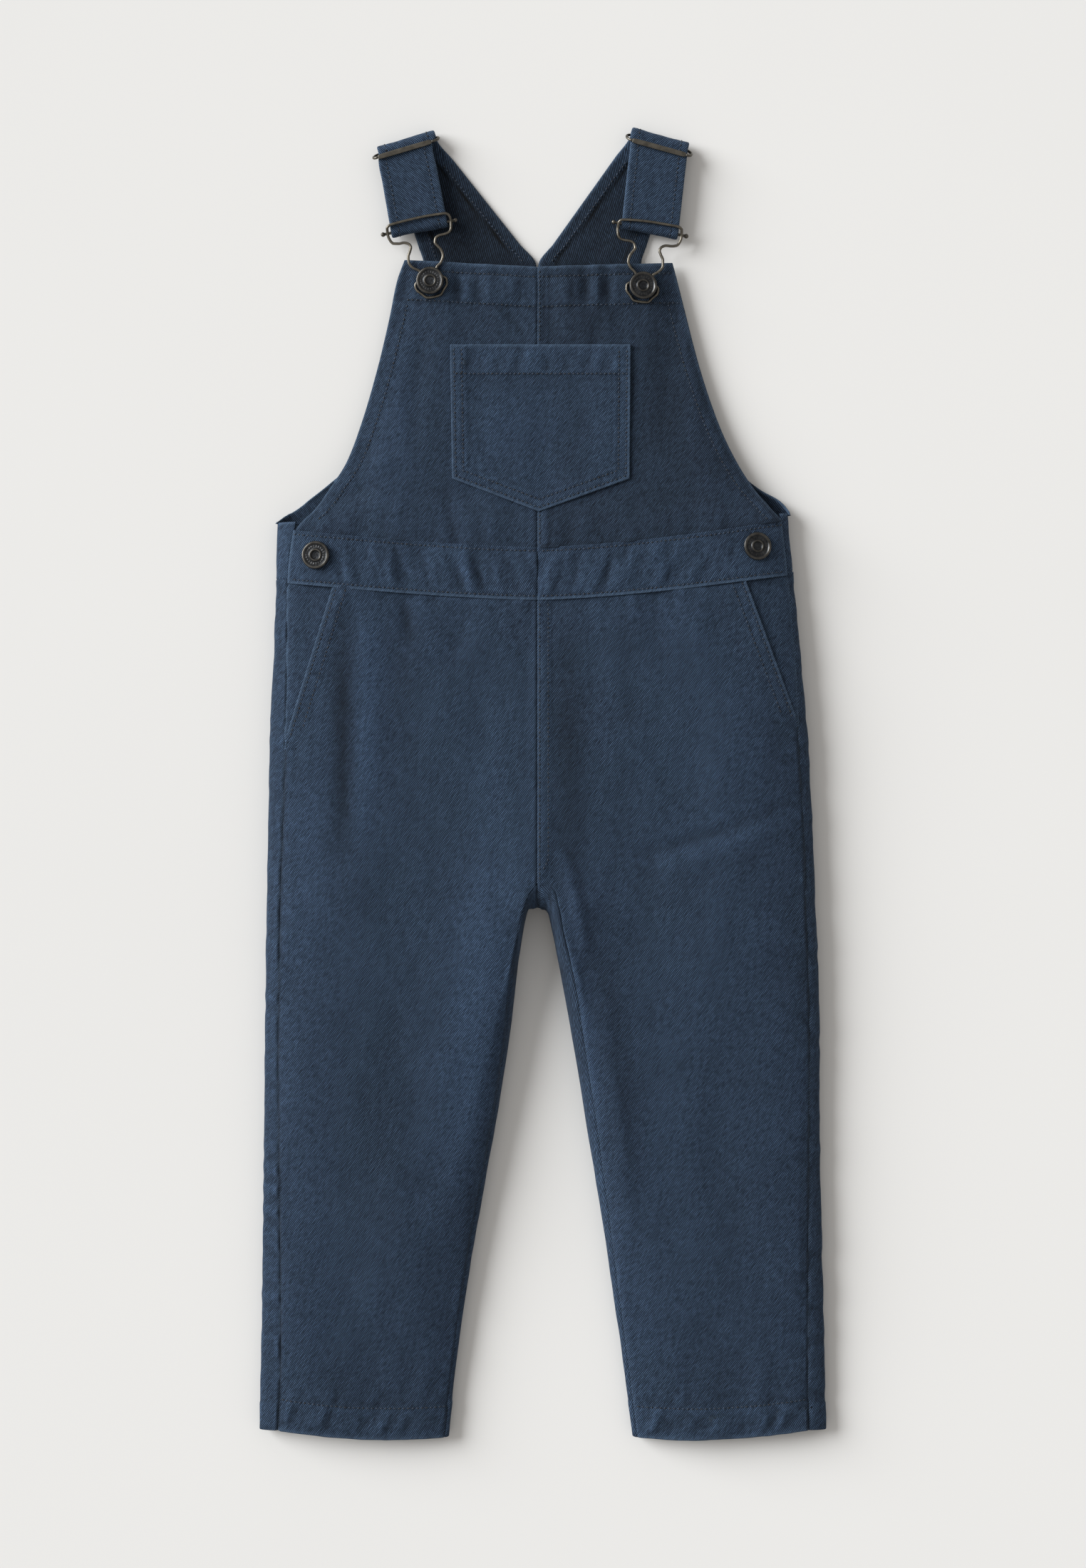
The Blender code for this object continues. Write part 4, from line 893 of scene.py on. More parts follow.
@dataclass
class Stitching:
    """Rows of lockstitch: each stitch is a small closed capsule half sunk in the cloth."""

    name: str
    thread: bpy.types.Material
    length: float = 1.8
    pitch: float = 2.75
    width: float = 0.95
    rows: list[tuple[Array, Array]] = field(default_factory=list)

    def drape(self, face: HeightOf, x: Array, y: Array) -> None:
        """Add a row of stitches on a height function, over a plan path."""
        self.along(*draped(face, x, y))

    def along(self, points: Array, normals: Array) -> None:
        """Add a row of stitches along a path on the cloth, given its points and normals."""
        self.rows.append((points, normals))

    def make(self) -> Piece:
        """Build all stitches as one mesh.

        A capsule's ring radius follows the square root of one less the square of its
        place along the stitch, and the stitch arches over the cloth between its ends.
        Each is turned and shortened a little at random.

        Returns:
            The object.
        """
        chance = np.random.default_rng(len(self.name) + sum(map(ord, self.name)))
        centres, directions, normals = [], [], []
        for points, facing in self.rows:
            run = run_along(points)
            at = np.arange(self.pitch / 2, run[-1] - self.pitch / 3, self.pitch)
            def read(values: Array, shift: float = 0.0) -> Array:
                """Values at the stitches' places."""
                return np.stack([np.interp(at + shift, run, values[:, axis]) for axis in range(3)],
                                axis=1)
            centres.append(read(points))
            directions.append(unit(read(points, 0.6) - read(points, -0.6)))
            normals.append(unit(read(facing)))
        centre, along, up = (np.concatenate(parts) for parts in (centres, directions, normals))
        across = unit(np.cross(up, along))
        turn = chance.normal(0.10, 0.07, len(centre))[:, None]
        along, across = unit(along + across * turn), unit(across - along * turn)
        size = self.length / 2 * chance.uniform(0.88, 1.06, len(centre))
        place = np.array([-1.0, -0.72, 0.0, 0.72, 1.0])
        ring = np.radians(np.arange(0, 360, 60))
        radius = self.width / 2 * np.sqrt(np.maximum(1 - place ** 4, 0.0))
        grid = (centre[:, None, None]
                + along[:, None, None] * (place[:, None, None] * size[:, None, None, None]))
        grid = grid + across[:, None, None] * (radius[:, None] * np.cos(ring))[..., None]
        arch = 0.2 * (1 - place ** 2) - 0.04
        lift = radius[:, None] * np.sin(ring) * 0.8 + arch[:, None]
        grid = grid + up[:, None, None] * lift[..., None]
        return self.capsules(grid)

    def capsules(self, grid: Array) -> Piece:
        """Join each stitch's rings, and close both ends on one point.

        Args:
            grid: Rings of points, a row for each stitch.

        Returns:
            One object for all the stitches.
        """
        count = len(grid)
        body = grid[:, 1:4].reshape(count, -1, 3)
        vertices = np.concatenate([grid[:, 0, :1], body, grid[:, 4, :1]], axis=1)
        k = np.arange(6)
        after = (k + 1) % 6
        quads = np.concatenate([np.stack([1 + k + 6 * r, 1 + after + 6 * r, 7 + after + 6 * r,
                                          7 + k + 6 * r], axis=1)
                                for r in range(2)])
        start = np.stack([np.zeros(6, int), 1 + after, 1 + k], axis=1)
        end = np.stack([np.full(6, 19), 13 + k, 13 + after], axis=1)
        offset = (np.arange(count) * 20)[:, None, None]
        faces = ((quads + offset).reshape(-1, 4).tolist()
                 + (np.concatenate([start, end]) + offset).reshape(-1, 3).tolist())
        obj = link_mesh(self.name, (vertices.reshape(-1, 3) + ORIGIN_SHIFT) * MM, faces,
                        self.thread)
        obj.data.shade_smooth()
        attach(obj, "root")
        return obj


def draped(face: HeightOf, x: Array, y: Array) -> tuple[Array, Array]:
    """Points and normals of a height function along a plan path.

    Args:
        face: Function of X and Y that gives the height.
        x: Plan coordinates of the path.
        y: Plan coordinates of the path.

    Returns:
        Points on the face and unit normals there.
    """
    step = 0.6
    slope_x = (face(x + step, y) - face(x - step, y)) / (2 * step)
    slope_y = (face(x, y + step) - face(x, y - step)) / (2 * step)
    normal = unit(np.stack([-slope_x, -slope_y, np.ones_like(slope_x)], axis=-1))
    return np.stack([x, y, face(x, y)], axis=-1), normal


def unroll(path: Array, foot: int, away: int) -> Array:
    """Set a path's cloth coordinates beside its points.

    Args:
        path: points in section from a seam to the floor, or from the floor to a seam.
        foot: index of the point on the floor.
        away: +1 or -1, the way the cloth runs on from the foot.

    Returns:
        Rows of x, y, z, the foot's x plus the girth from there, and y.
    """
    run = np.linalg.norm(np.diff(path[:, ::2], axis=0, prepend=path[:1, ::2]), axis=1).cumsum()
    return np.column_stack([path, path[foot, 0] + away * np.abs(run - run[foot]), path[:, 1]])


def weave_of(points: Array, direction: int) -> Array:
    """Cloth coordinates of a grid: girth from the middle column, seen in section, and Y.

    Args:
        points: Grid of points.
        direction: 1 or -1 for the sense of the girth.

    Returns:
        Two coordinates a point, in mm.
    """
    step = np.linalg.norm(np.diff(points[..., ::2], axis=1, prepend=points[:, :1, ::2]), axis=-1)
    run = np.cumsum(step, axis=1)
    middle = points.shape[1] // 2
    across = points[:, middle, :1] + direction * (run - run[:, middle:middle + 1])
    return np.stack([500.0 + across, 500.0 + points[..., 1]], axis=-1)


def lay_cloth(name: str, sheet: Sheet, edges: dict[Rim, Array], edge_wear_and_highlight: dict[Rim, float],
              finishes: Finishes,
              replaced: str) -> Piece:
    """Args:
        name: Piece name.
        sheet: Grid on the outer face.
        edges: How each edge is finished.
        edge_wear_and_highlight: How worn each edge is, with its painted highlight.
        finishes: The garment's finishes.
        replaced: CAD node.

    Returns:
        The object.
    """
    layers = sheet.finished(edges, edge_wear_and_highlight)
    obj = add_surface(name, layers[..., :3], finishes.denim, layers[..., 6:8], layers[..., 8],
                      layers[..., 9],
                      facing=layers[..., 3:6])
    declare_cloth(obj, layers[..., :3], replaced)
    return obj


def declare_cloth(obj: Piece, points: Array, replaced: str) -> None:
    """Ride a cloth piece, hide its CAD node and log its cut size; its flat size is its greatest
    girths on the cloth.

    Args:
        obj: The piece.
        points: Its grid in mm, rows across and columns along.
        replaced: CAD node that it stands for.
    """
    across = np.linalg.norm(np.diff(points, axis=1), axis=-1).sum(axis=1).max() * MM
    along = np.linalg.norm(np.diff(points, axis=0), axis=-1).sum(axis=0).max() * MM
    a, b = points[1:, 1:] - points[:-1, :-1], points[1:, :-1] - points[:-1, 1:]
    area = 0.5 * np.linalg.norm(np.cross(a, b), axis=-1).sum() * MM * MM
    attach(obj, "root")
    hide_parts(replaced)
    LOG.info("%s cut %.3f x %.3f m, %.4f square metres", obj.name, across, along, area)


@dataclass
class TrouserFront:
    """Front trouser panel: slant pocket mouth, centre seam, turned hem and its stitches."""

    form: Form
    side: Side
    rows: int = 400
    columns: int = 124
    hem_depth: float = 18.6
    mouth_stitches: tuple[float, float] = (2.3, 8.3)
    felled: tuple[float, float] = (1.4, 6.7)
    creases: dict[Side, tuple[Crease, ...]] = field(default_factory=lambda: {
        Side.LEFT: (
            Crease((-120, 112), (-124, -60), 9, -0.7, 4),
            Crease((-101, 112), (-108, -40), 12, 0.7, -4),
            Crease((-86, 116), (-78, 84), 4.5, -0.8), Crease((-47, 116), (-52, 78), 6, -0.5),
            Crease((-64, 116), (-70, 70), 8, 0.5), Crease((-22, 112), (-26, 40), 9, 0.4),
            Crease((-40, -50), (-60, -190), 16, 0.8, 6),
            Crease((-96, -60), (-84, -230), 20, -0.6, 5),
            Crease((-30, -70), (-44, -170), 10, 0.5, 3),
            Crease((-75, -240), (-112, -330), 18, 0.5, 4),
            Crease((-150, -60), (-120, -84), 6, 0.35), Crease((-152, -232), (-124, -214), 7, 0.3),
            Crease((-118, -300), (-96, -388), 9, -0.4, -3),
            Crease((-66, -330), (-78, -390), 7, 0.4)),
        Side.RIGHT: (
            Crease((152, -10), (54, -43), 5, -0.75, 3), Crease((150, -24), (70, -50), 7, 0.45, 3),
            Crease((9, -38), (26, -110), 4.5, 0.9, 3), Crease((18, -34), (42, -190), 11, -0.7, 5),
            Crease((30, -90), (52, -330), 6, 0.6, 5), Crease((66, 118), (74, 66), 7, -0.5),
            Crease((42, 114), (44, 40), 9, 0.45), Crease((92, 118), (96, 50), 9, 0.4),
            Crease((60, 60), (88, -40), 16, -0.45, 5), Crease((122, -60), (96, -170), 16, 0.5, -6),
            Crease((100, -190), (120, -320), 15, -0.5, 4),
            Crease((140, -250), (118, -224), 8, 0.35),
            Crease((92, -320), (84, -388), 8, -0.4, 2), Crease((128, -330), (134, -390), 7, 0.35))})
    # Listed bands of painted light and shade: lighter on folds and slopes that catch the light,
    # darker on those facing away
    painted_light_bands: dict[Side, tuple[Crease, ...]] = field(default_factory=lambda: {
        Side.LEFT: (
            Crease((-102, 118), (-107, -40), 8, 0.60), Crease((-121, 112), (-122, -50), 7, -0.85),
            Crease((-34, -40), (-48, -250), 15, 0.62), Crease((-14, -20), (-30, -150), 8, 0.25),
            Crease((-34, 62), (-30, -70), 14, 0.28), Crease((-78, 110), (-82, 40), 8, -0.35),
            Crease((-104, -120), (-96, -300), 26, -0.25), Crease((-140, 20), (-146, -120), 9, 0.25),
            Crease((-150, -360), (-60, -366), 34, -0.25)),
        Side.RIGHT: (
            Crease((15, 112), (17, -70), 10, -0.75), Crease((36, -70), (52, -260), 12, -0.45),
            Crease((12, -60), (36, -220), 5, 0.45), Crease((80, 104), (96, -60), 26, 0.14),
            Crease((112, -200), (120, -330), 22, -0.20), Crease((156, -150), (158, -215), 7, 0.35),
            Crease((160, -300), (161, -350), 6, 0.3), Crease((48, 110), (52, 20), 9, -0.2),
            Crease((60, -366), (150, -362), 34, -0.28))})

    def edge_distances(self, x: Array, y: Array) -> tuple[Array, Array, Array, Array]:
        """Distances in mm from the outer edge, the centre or inside seam, the waist and the hem.

        Args:
            x: X of plan points.
            y: Y of plan points.

        Returns:
            The four distances.
        """
        sign = self.side.sign
        outer = sign * (self.form.front_outer_x(self.side, y) - x)
        inner = sign * (x - np.where(y > CROTCH_Y, CENTRE_X, self.form.inseam_x(self.side, y)))
        waist = self.form.line_at("band_bottom", self.side, x) - y
        return outer, inner, waist, y - self.form.hem_y(self.side, x)

    def relief(self, x: Array, y: Array) -> Array:
        """Height of folds over the smooth form.

        Slow and quick noise that fades at the seams, listed creases, puckers that
        fade away from the waist, outseam and hem, a raised felled seam, and dips at
        seams and rows of stitches.

        Args:
            x: X of plan points.
            y: Y of plan points.

        Returns:
            Height over the smooth form.
        """
        outer, inner, waist, hem = self.edge_distances(x, y)
        calm = ease(outer / 7) * ease(inner / 7)
        seed = 11 + self.side.sign
        height = (0.9 * soft_noise(x, y, (30, 62), seed)
                  + 0.4 * soft_noise(x, y, (13, 24), seed + 4)
                  + 0.14 * soft_noise(x, y, (6, 8), seed + 8)) * calm
        height += 1.7 * creased(self.creases[self.side], x, y) * calm
        waist_puckers = (soft_noise(x + 0.12 * y, y, (7.5, 40),
                                    seed + 12) * np.exp(-np.maximum(waist, 0) / 15))
        height += 1.15 * waist_puckers * calm * ease(waist / 5) - 0.5 * bell(waist, 2.2)
        foot = self.form.slants[self.side][3]
        seamed = ease((foot - y) / 8)
        along_side = (0.9 * soft_noise(x, y + 0.25 * x, (16, 6.5), seed + 16)
                      * np.exp(-np.maximum(outer, 0) / 7))
        height += along_side * seamed * ease(outer / 1.2)
        along_inside = (0.5 * soft_noise(x, y, (14, 8), seed + 20)
                        * np.exp(-np.maximum(inner, 0) / 6) * ease(inner / 1.2))
        height += along_inside * ease((CROTCH_Y - y) / 20)
        in_hem = 1 - ease((hem - self.hem_depth) / 1.4)
        pucker = soft_noise(x - 0.35 * y, y, (5.5, 17), seed + 24)
        height += (0.5 * in_hem
                   + 1.15 * pucker * np.sin(np.pi * np.clip(hem / self.hem_depth, 0, 1)) * calm)
        height = height - 0.32 * bell(hem - self.hem_depth, 0.9) + 0.5 * pucker * bell(hem - 24, 7)
        height = height - 0.5 * bell(outer, 0.8) * seamed - 0.5 * bell(inner, 0.75)
        mouth = (1 - seamed) * ease((waist + 2) / 4)
        for distance in self.mouth_stitches:
            height -= 0.25 * bell(outer - distance, 0.8) * mouth
        height += 0.3 * mouth * (1 - ease((outer - 9) / 2))
        height += 0.18 * mouth * soft_noise(x, y, (9, 6), seed + 28) * bell(outer - 5, 3)
        if self.side is Side.RIGHT:
            above = ease((y + 57) / 4)
            height += 0.38 * above * (1 - ease((inner - 7.6) / 1.3)) * ease(inner / 0.8)
            for distance in self.felled:
                height -= 0.24 * bell(inner - distance, 0.7) * above
            height += 0.14 * above * soft_noise(x, y, (9, 4), seed + 32) * bell(inner - 4, 3)
        return height

    def face(self, x: Array, y: Array) -> Array:
        """Height of the outer face with its folds."""
        return self.form.front_height(self.side, x, y) + self.relief(x, y)

    def plan(self) -> tuple[Array, Array]:
        """Plan grid of the panel.

        Rows are set by their height at the outer edge. Across a row, X runs evenly and
        Y follows a power of the way across less a sine dip, and both are read between
        named rows on the smooth curve.

        Returns:
            X and Y of the grid.
        """
        side, sign = self.side, self.side.sign
        top_x, top_y, _, _ = self.form.slants[side]
        crotch = {Side.LEFT: ((-3.5, -61.0), (-6.4, -63.6), (-9.2, -67.9), (-11.3, -74.0),
                              (-13.9, -84.0), (-17.6, -106.0)),
                  Side.RIGHT: ((-3.5, -61.0), (3.2, -61.4), (7.6, -65.0), (9.7, -74.0),
                               (11.9, -86.0), (16.5, -106.0))}[side]
        straight = [(99, 91), (74, 69), (50, 47), (27, 25), (0, -2), (-26, -28)]
        legs = [(-124, -116, 0), (-156, -150, 0), (-195, -195, 0), (-238, -238, 0), (-280, -280, 0),
                (-318, -319, .5),
                (-350, -353, 1.5), (-376, -380.5, 3), (-392.5, -397.3, 3.5)]
        count = self.columns
        t = 0.5 - 0.5 * np.cos(np.pi * np.linspace(0.0, 1.0, count))
        t = 0.65 * np.linspace(0.0, 1.0, count) + 0.35 * t
        start = sign * top_x
        waist_x = start + (CENTRE_X - start) * t
        waist = self.form.seam_line("band_bottom", side,
                                    self.form.across(side, waist_x, np.full(count, top_y)))
        knots, heights, ends = [waist[0]], [waist], [CENTRE_X]
        for outer, inner in straight:
            knots.append(outer)
            heights.append(outer + (inner - outer) * t)
            ends.append(CENTRE_X)
        for (outer, bend), (x, y) in zip(((-46, 12), (-60, 8), (-74, 4), (-88, 4), (-105, 4),
                                          (-116, 2.6)), crotch):
            knots.append(outer)
            heights.append(outer + (y - outer) * t ** bend)
            ends.append(x)
        for outer, inner, dip in legs:
            knots.append(outer)
            heights.append(outer + (inner - outer) * t ** 1.6 - dip * np.sin(np.pi * t))
            ends.append(float(self.form.inseam_x(side, np.float64(inner))))
        outer = np.linspace(knots[0], knots[-1], self.rows)
        y = glide(np.array(knots), np.array(heights), outer)
        end = glide(np.array(knots), np.array(ends), outer)
        start = self.form.front_outer_x(side, outer)
        return start[:, None] + (end - start)[:, None] * t, y

    def make(self, finishes: Finishes) -> list[Piece]:
        """Build the panel and its stitches.

        Args:
            finishes: The garment's finishes.

        Returns:
            The panel and its stitches.
        """
        x, y = self.plan()
        points = np.stack([x, y, self.face(x, y)], axis=-1)
        # Painted light and shade from the listed bands
        tone = creased(self.painted_light_bands[self.side], x, y)
        outer, inner, waist, hem = self.edge_distances(x, y)
        seamed = ease((self.form.slants[self.side][3] - y) / 8)
        # Painted shade along the outseam and, on the left, the centre and inside leg seam
        tone = (tone - 0.9 * bell(outer, 1.0) * seamed
                - 0.7 * bell(inner, 0.9) * (self.side is Side.LEFT))
        # Painted shade below the waistband, and random lighter and darker patches in the hem
        tone = tone - 0.22 * bell(waist, 5) + 0.1 * soft_noise(x, y, (5, 14), 71) * bell(hem - 9, 9)
        sheet = Sheet(points, weave_of(points, -self.side.sign), tone)
        mouth = ease((y[:, 0] - self.form.slants[self.side][3]) / 5)[None, :, None]
        edge = np.pad(roll_edge(0.55)[:, None] * mouth + tuck_edge()[:, None] * (1 - mouth),
                      ((0, 0), (8, 8), (0, 0)), mode="edge")
        label = self.side.label
        edges = {Rim.LAST_ROW: roll_edge(0.9, 14.0), Rim.FIRST_ROW: tuck_edge(),
                 Rim.LAST_COLUMN: tuck_edge(),
                 Rim.FIRST_COLUMN: edge}
        edge_wear_and_highlight = {Rim.LAST_ROW: 0.35, Rim.FIRST_COLUMN: 0.4 * np.pad(mouth[0, :, 0], 8, mode="edge"),
                Rim.LAST_COLUMN: 0.15 * (self.side is Side.RIGHT)}
        stitches = self.stitch(finishes)
        cloth = lay_cloth("denim_front_" + label, sheet, edges, edge_wear_and_highlight, finishes, "front_" + label)
        return [cloth, stitches]

    def stitch(self, finishes: Finishes) -> Piece:
        """Rows at the pocket mouth, hem and, on the right, the felled centre seam.

        Args:
            finishes: The garment's finishes.

        Returns:
            The stitches.
        """
        form, side, sign = self.form, self.side, self.side.sign
        rows = Stitching("stitches_front_" + side.label, finishes.thread)
        top_y, foot_y = form.slants[side][1], form.slants[side][3]
        for distance in self.mouth_stitches:
            y = np.linspace(top_y - 3, foot_y + distance * 0.6, 120)
            rows.drape(self.face, form.front_outer_x(side, y) - sign * distance, y)
        x = np.linspace(form.outseam_x(side, np.float64(-375)),
                        form.inseam_x(side, np.float64(-378)), 200)[2:-2]
        rows.drape(self.face, x, form.hem_y(side, x) + self.hem_depth)
        if side is Side.RIGHT:
            for distance, low in zip(self.felled, (-58.5, -53.0)):
                y = np.linspace(109.5, low, 200)
                x = np.full(200, CENTRE_X + distance) - 4.5 * ease((-44 - y) / 12) * (distance > 4)
                rows.drape(self.face, x, y)
        return rows.make()


@dataclass
class TrouserBack:
    """Back trouser panel, wrapped round the outseam, over the floor and up the inside leg."""

    form: Form
    side: Side
    rows: int = 340
    outside_count: int = 40
    floor_count: int = 36
    inside_count: int = 44
    seat_rows: tuple[float, ...] = (100, 75, 50, 27, 0, -30, -56)
    climbs: tuple[tuple[float, float, float, float], ...] = (
        (-66, .22, 0, .28), (-73, .42, 0, .55), (-80, .58, 0, .78), (-87, .7, 0, 1),
        (-93, .79, .2, 1),
        (-99, .86, .4, 1), (-105, .92, .6, 1), (-111, .98, .8, 1))
    legs: tuple[tuple[float, float], ...] = (
        (-124, -116), (-156, -150), (-195, -195), (-238, -238), (-280, -280), (-318, -319),
        (-350, -353),
        (-376, -380.5), (-392.5, -397.3))
    crotch: dict[Side, Table] = field(default_factory=lambda: {
        Side.LEFT: Table("station top_x top_y bulge_x bulge_y foot_x foot_y", (
            (0, -3.5, -61, -3.5, -76.3, -3.5, -71), (.2, -6.4, -63.6, -5.6, -76.3, -7.5, -70.6),
            (.4, -9.2, -67.9, -6.9, -76.2, -12.5, -70.5), (.6, -11.3, -74, -8.6, -76.2, -17, -75),
            (.8, -13.9, -84, -10.9, -84.8, -20, -85.2),
            (1, -17.6, -106, -14.6, -106.8, -24, -107.6))),
        Side.RIGHT: Table("station top_x top_y bulge_x bulge_y foot_x foot_y", (
            (0, -3.5, -61, -3.5, -76.3, -3.5, -71), (.2, 3.2, -61.4, -1, -76.3, .6, -70.4),
            (.4, 7.6, -65, 1.5, -76.7, 6.5, -70.5), (.6, 9.7, -74, 3.4, -79, 12, -75.5),
            (.8, 11.9, -86, 5.2, -87.4, 14.2, -87.4), (1, 16.5, -106, 8.8, -107.2, 18, -107.6)))})
    bulge_lift: float = 0.4

    def outside(self, y: float) -> Array:
        """Path from the outseam over the side, on the front's quarter ellipse, and down a
        quarter ellipse onto the floor.

        Args:
            y: Height along the leg.

        Returns:
            Points in section with their cloth coordinates.
        """
        form, side, sign = self.form, self.side, self.side.sign
        key = np.float64(y)
        outer, roll = form.outer_x(side, key), form.body.at("roll", key)
        widest = form.body.at("side", key)
        start = sign * (outer - form.outseam_x(side, key))
        angle = np.linspace(math.acos(1 - start / roll), 0.0, 24)
        x = outer - sign * roll * (1 - np.cos(angle))
        upper = np.stack([x, np.full_like(x, y), form.front_height(side, x, np.full_like(x, y))],
                         axis=1)
        angle = np.linspace(0.0, np.pi / 2, 20)[1:]
        x = outer - sign * form.foot_roll * (1 - np.cos(angle))
        lower = np.stack([x, np.full_like(x, y), widest * (1 - np.sin(angle))], axis=1)
        return unroll(np.concatenate([upper, lower]), -1, sign)

    def wall(self, station: Array, lift: Array) -> Array:
        """Points of the wall round the crotch, quarter ellipses from its foot over its bulge to
        the seam, with their cloth coordinates, unfolded outward over the foot.

        Args:
            station: Place of each path along the crotch.
            lift: Share of the height, 0 at the foot.

        Returns:
            Plan point, height and cloth coordinates.
        """
        table = self.crotch[self.side]
        top, bulge, foot = (np.stack([table.at(name + axis, station) for axis in ("_x", "_y")],
                                     axis=-1)
                            for name in ("top", "bulge", "foot"))
        bulge_z = self.form.body.at("side", bulge[..., 1])
        top_z = self.form.front_height(self.side, top[..., 0], top[..., 1])
        low = np.clip(lift / self.bulge_lift, 0.0, 1.0) * np.pi / 2
        high = np.clip((lift - self.bulge_lift) / (1 - self.bulge_lift), 0.0, 1.0) * np.pi / 2
        plan = (foot + (bulge - foot) * np.sin(low)[..., None]
                + (top - bulge) * (1 - np.cos(high))[..., None])
        z = bulge_z * (1 - np.cos(low)) + (top_z - bulge_z) * np.sin(high)
        under, over = (np.linalg.norm(leg, axis=-1) for leg in (bulge - foot, top - bulge))
        run = 0.707 * (low * np.hypot(under, bulge_z) + high * np.hypot(over, top_z - bulge_z))
        cloth = foot + (bulge - foot) * (run / under)[..., None]
        return np.concatenate([plan, z[..., None], cloth], axis=-1)

    def climb(self, foot: float, station: float, lift: float) -> Array:
        """Path from the floor up the wall to the seat seam or the crotch seam.

        Args:
            foot: X of the foot.
            station: Place along the crotch.
            lift: Shares of the height.

        Returns:
            Points of the path with their cloth coordinates.
        """
        t = np.linspace(0.0, 1.0, 80)
        if station > 0.0:
            return self.wall(station + (foot - station) * (1 - t ** 4) ** 2, t)
        if lift == 1.0:
            return self.wall(foot * (1 - t ** 2.5), t)
        return self.wall(foot * np.cos(t * np.pi / 2), lift * np.sin(t * np.pi / 2))

    def inside_leg(self, outer: float, inner: float) -> Array:
        """Path from the floor round the inside leg and up to the inseam.

        Args:
            outer: Y of the row at the side.
            inner: Y of the row inside.

        Returns:
            Points of the path with their cloth coordinates.
        """
        form, side, sign = self.form, self.side, self.side.sign
        angle = np.linspace(np.pi / 2, 0.0, 16)
        y = inner + (outer - inner) * np.linspace(0.25, 0.1, 16)
        x = form.inner_x(side, y) + sign * form.foot_roll * (1 - np.cos(angle))
        lower = np.stack([x, y, form.body.at("side", y) * (1 - np.sin(angle))], axis=1)
        seam = form.inner.at(side.label + "_seam", np.float64(inner))
        reach = form.inner.at("fall", np.float64(inner)) + seam
        angle = np.linspace(0.0, math.acos(1 - seam / reach), 24)
        y = y[-1] + (inner - y[-1]) * np.linspace(0.0, 1.0, 24)
        inset = form.inner.at(side.label + "_seam", y)
        x = form.inner_x(side, y) + sign * inset * reach * (1 - np.cos(angle)) / seam
        upper = np.stack([x, y, form.front_height(side, x, y)], axis=1)[1:]
        return unroll(np.concatenate([lower, upper]), 0, -sign)

    def grid(self) -> Array:
        """Points of the panel with their cloth coordinates: named rows, each even along its three
        stretches, read between on the smooth curve.

        Returns:
            Grid of five values a point.
        """
        form, side = self.form, self.side
        top = form.lines["back_bottom"][0 if side is Side.LEFT else 1]
        named = [(y, np.array([[CENTRE_X, y, 0.0, CENTRE_X, y]])) for y in (top, *self.seat_rows)]
        named += [(y, self.climb(foot, station, lift)) for y, foot, station, lift in self.climbs]
        named += [(outer, self.inside_leg(outer, inner)) for outer, inner in self.legs]
        rows = []
        for y, inside in named:
            outside = even(self.outside(y), self.outside_count)
            floor = np.linspace(outside[-1], inside[0], self.floor_count + 2)[1:-1]
            tail = even(inside, self.inside_count) if len(inside) > 1 else None
            if tail is None:
                floor = np.linspace(outside[-1], inside[0],
                                    self.floor_count + self.inside_count + 1)[1:]
                row = np.concatenate([outside, floor])
            else:
                row = np.concatenate([outside, floor, tail])
            if y == top:
                row[:, 1] = row[:, 4] = form.back_line("back_bottom", row[:, 0])
            rows.append(row)
        keys = np.array([y for y, _ in named], float)
        at = np.linspace(keys[0], keys[-1], self.rows)
        points = glide(keys, np.array(rows), at)
        points[..., 2] = np.maximum(points[..., 2], 0.0)
        return points

    def make(self, finishes: Finishes) -> list[Piece]:
        """Build the panel with puckers along its seams and a turned hem.

        Args:
            finishes: The garment's finishes.

        Returns:
            The panel.
        """
        table = self.grid()
        points, weave = table[..., :3], 500.0 + table[..., 3:] * (-1, 1)
        x, y, z = (points[..., axis] for axis in range(3))
        run = np.linalg.norm(np.diff(points, axis=1, prepend=points[:, :1]), axis=-1).cumsum(axis=1)
        seam, inner = run, run[:, -1:] - run
        seed = 41 + self.side.sign
        height = (0.95 * soft_noise(x, y + 0.2 * x, (60, 6.5),
                                    seed) * np.exp(-seam / 10) * ease(seam / 1.2))
        height += 0.25 * soft_noise(x, y, (60, 26), seed + 3) * ease(seam / 5) * ease(inner / 5)
        height += (0.25 * soft_noise(x + z, y, (40, 9),
                                     seed + 6) * np.exp(-inner / 8) * ease(inner / 1.2))
        hem = y + 395.0
        height += 0.35 * (1 - ease((hem - 18) / 1.4)) * ease(seam / 2) * ease(inner / 2)
        height = height - 0.5 * bell(seam, 0.8) - 0.35 * bell(inner, 0.75)
        sheet = Sheet(points, weave, np.zeros(x.shape), outward_up=False)
        normal = sheet.layers()[..., 3:6]
        points = points + normal * (height * ease(z / 3))[..., None]
        points[..., 2] = np.maximum(points[..., 2], 0.0)
        label = self.side.label
        # Painted shade on the side below the outseam, a dark painted line along the seams, a
        # painted highlight beside them off the floor, and painted shade between the legs at the
        # crotch
        tone = (-0.25 * ease(z / 4) * ease(8 - seam / 3) - 0.9 * bell(seam, 1.0)
                + 0.3 * bell(seam - 3, 2.5) * (z > 1)
                - 0.25 * bell(x - CENTRE_X, 14) * ease((-60 - y) / 6) * ease((y + 115) / 12))
        # Painted shadow on the right leg's inside wall below the crotch, where the left leg shades
        # it
        if self.side is Side.RIGHT:
            tone -= 0.45 * ease((18 - inner) / 10) * ease((-62 - y) / 10) * ease((y + 230) / 90)
        sheet = Sheet(points, weave, tone, outward_up=False)
        cloth = lay_cloth("denim_back_" + label, sheet,
                          {Rim.LAST_ROW: roll_edge(0.8, 14.0), Rim.FIRST_ROW: tuck_edge(0.9),
                           Rim.FIRST_COLUMN: tuck_edge(0.9), Rim.LAST_COLUMN: tuck_edge(0.9)},
                          {Rim.FIRST_COLUMN: 0.2}, finishes, "back_" + label)
        return [cloth]


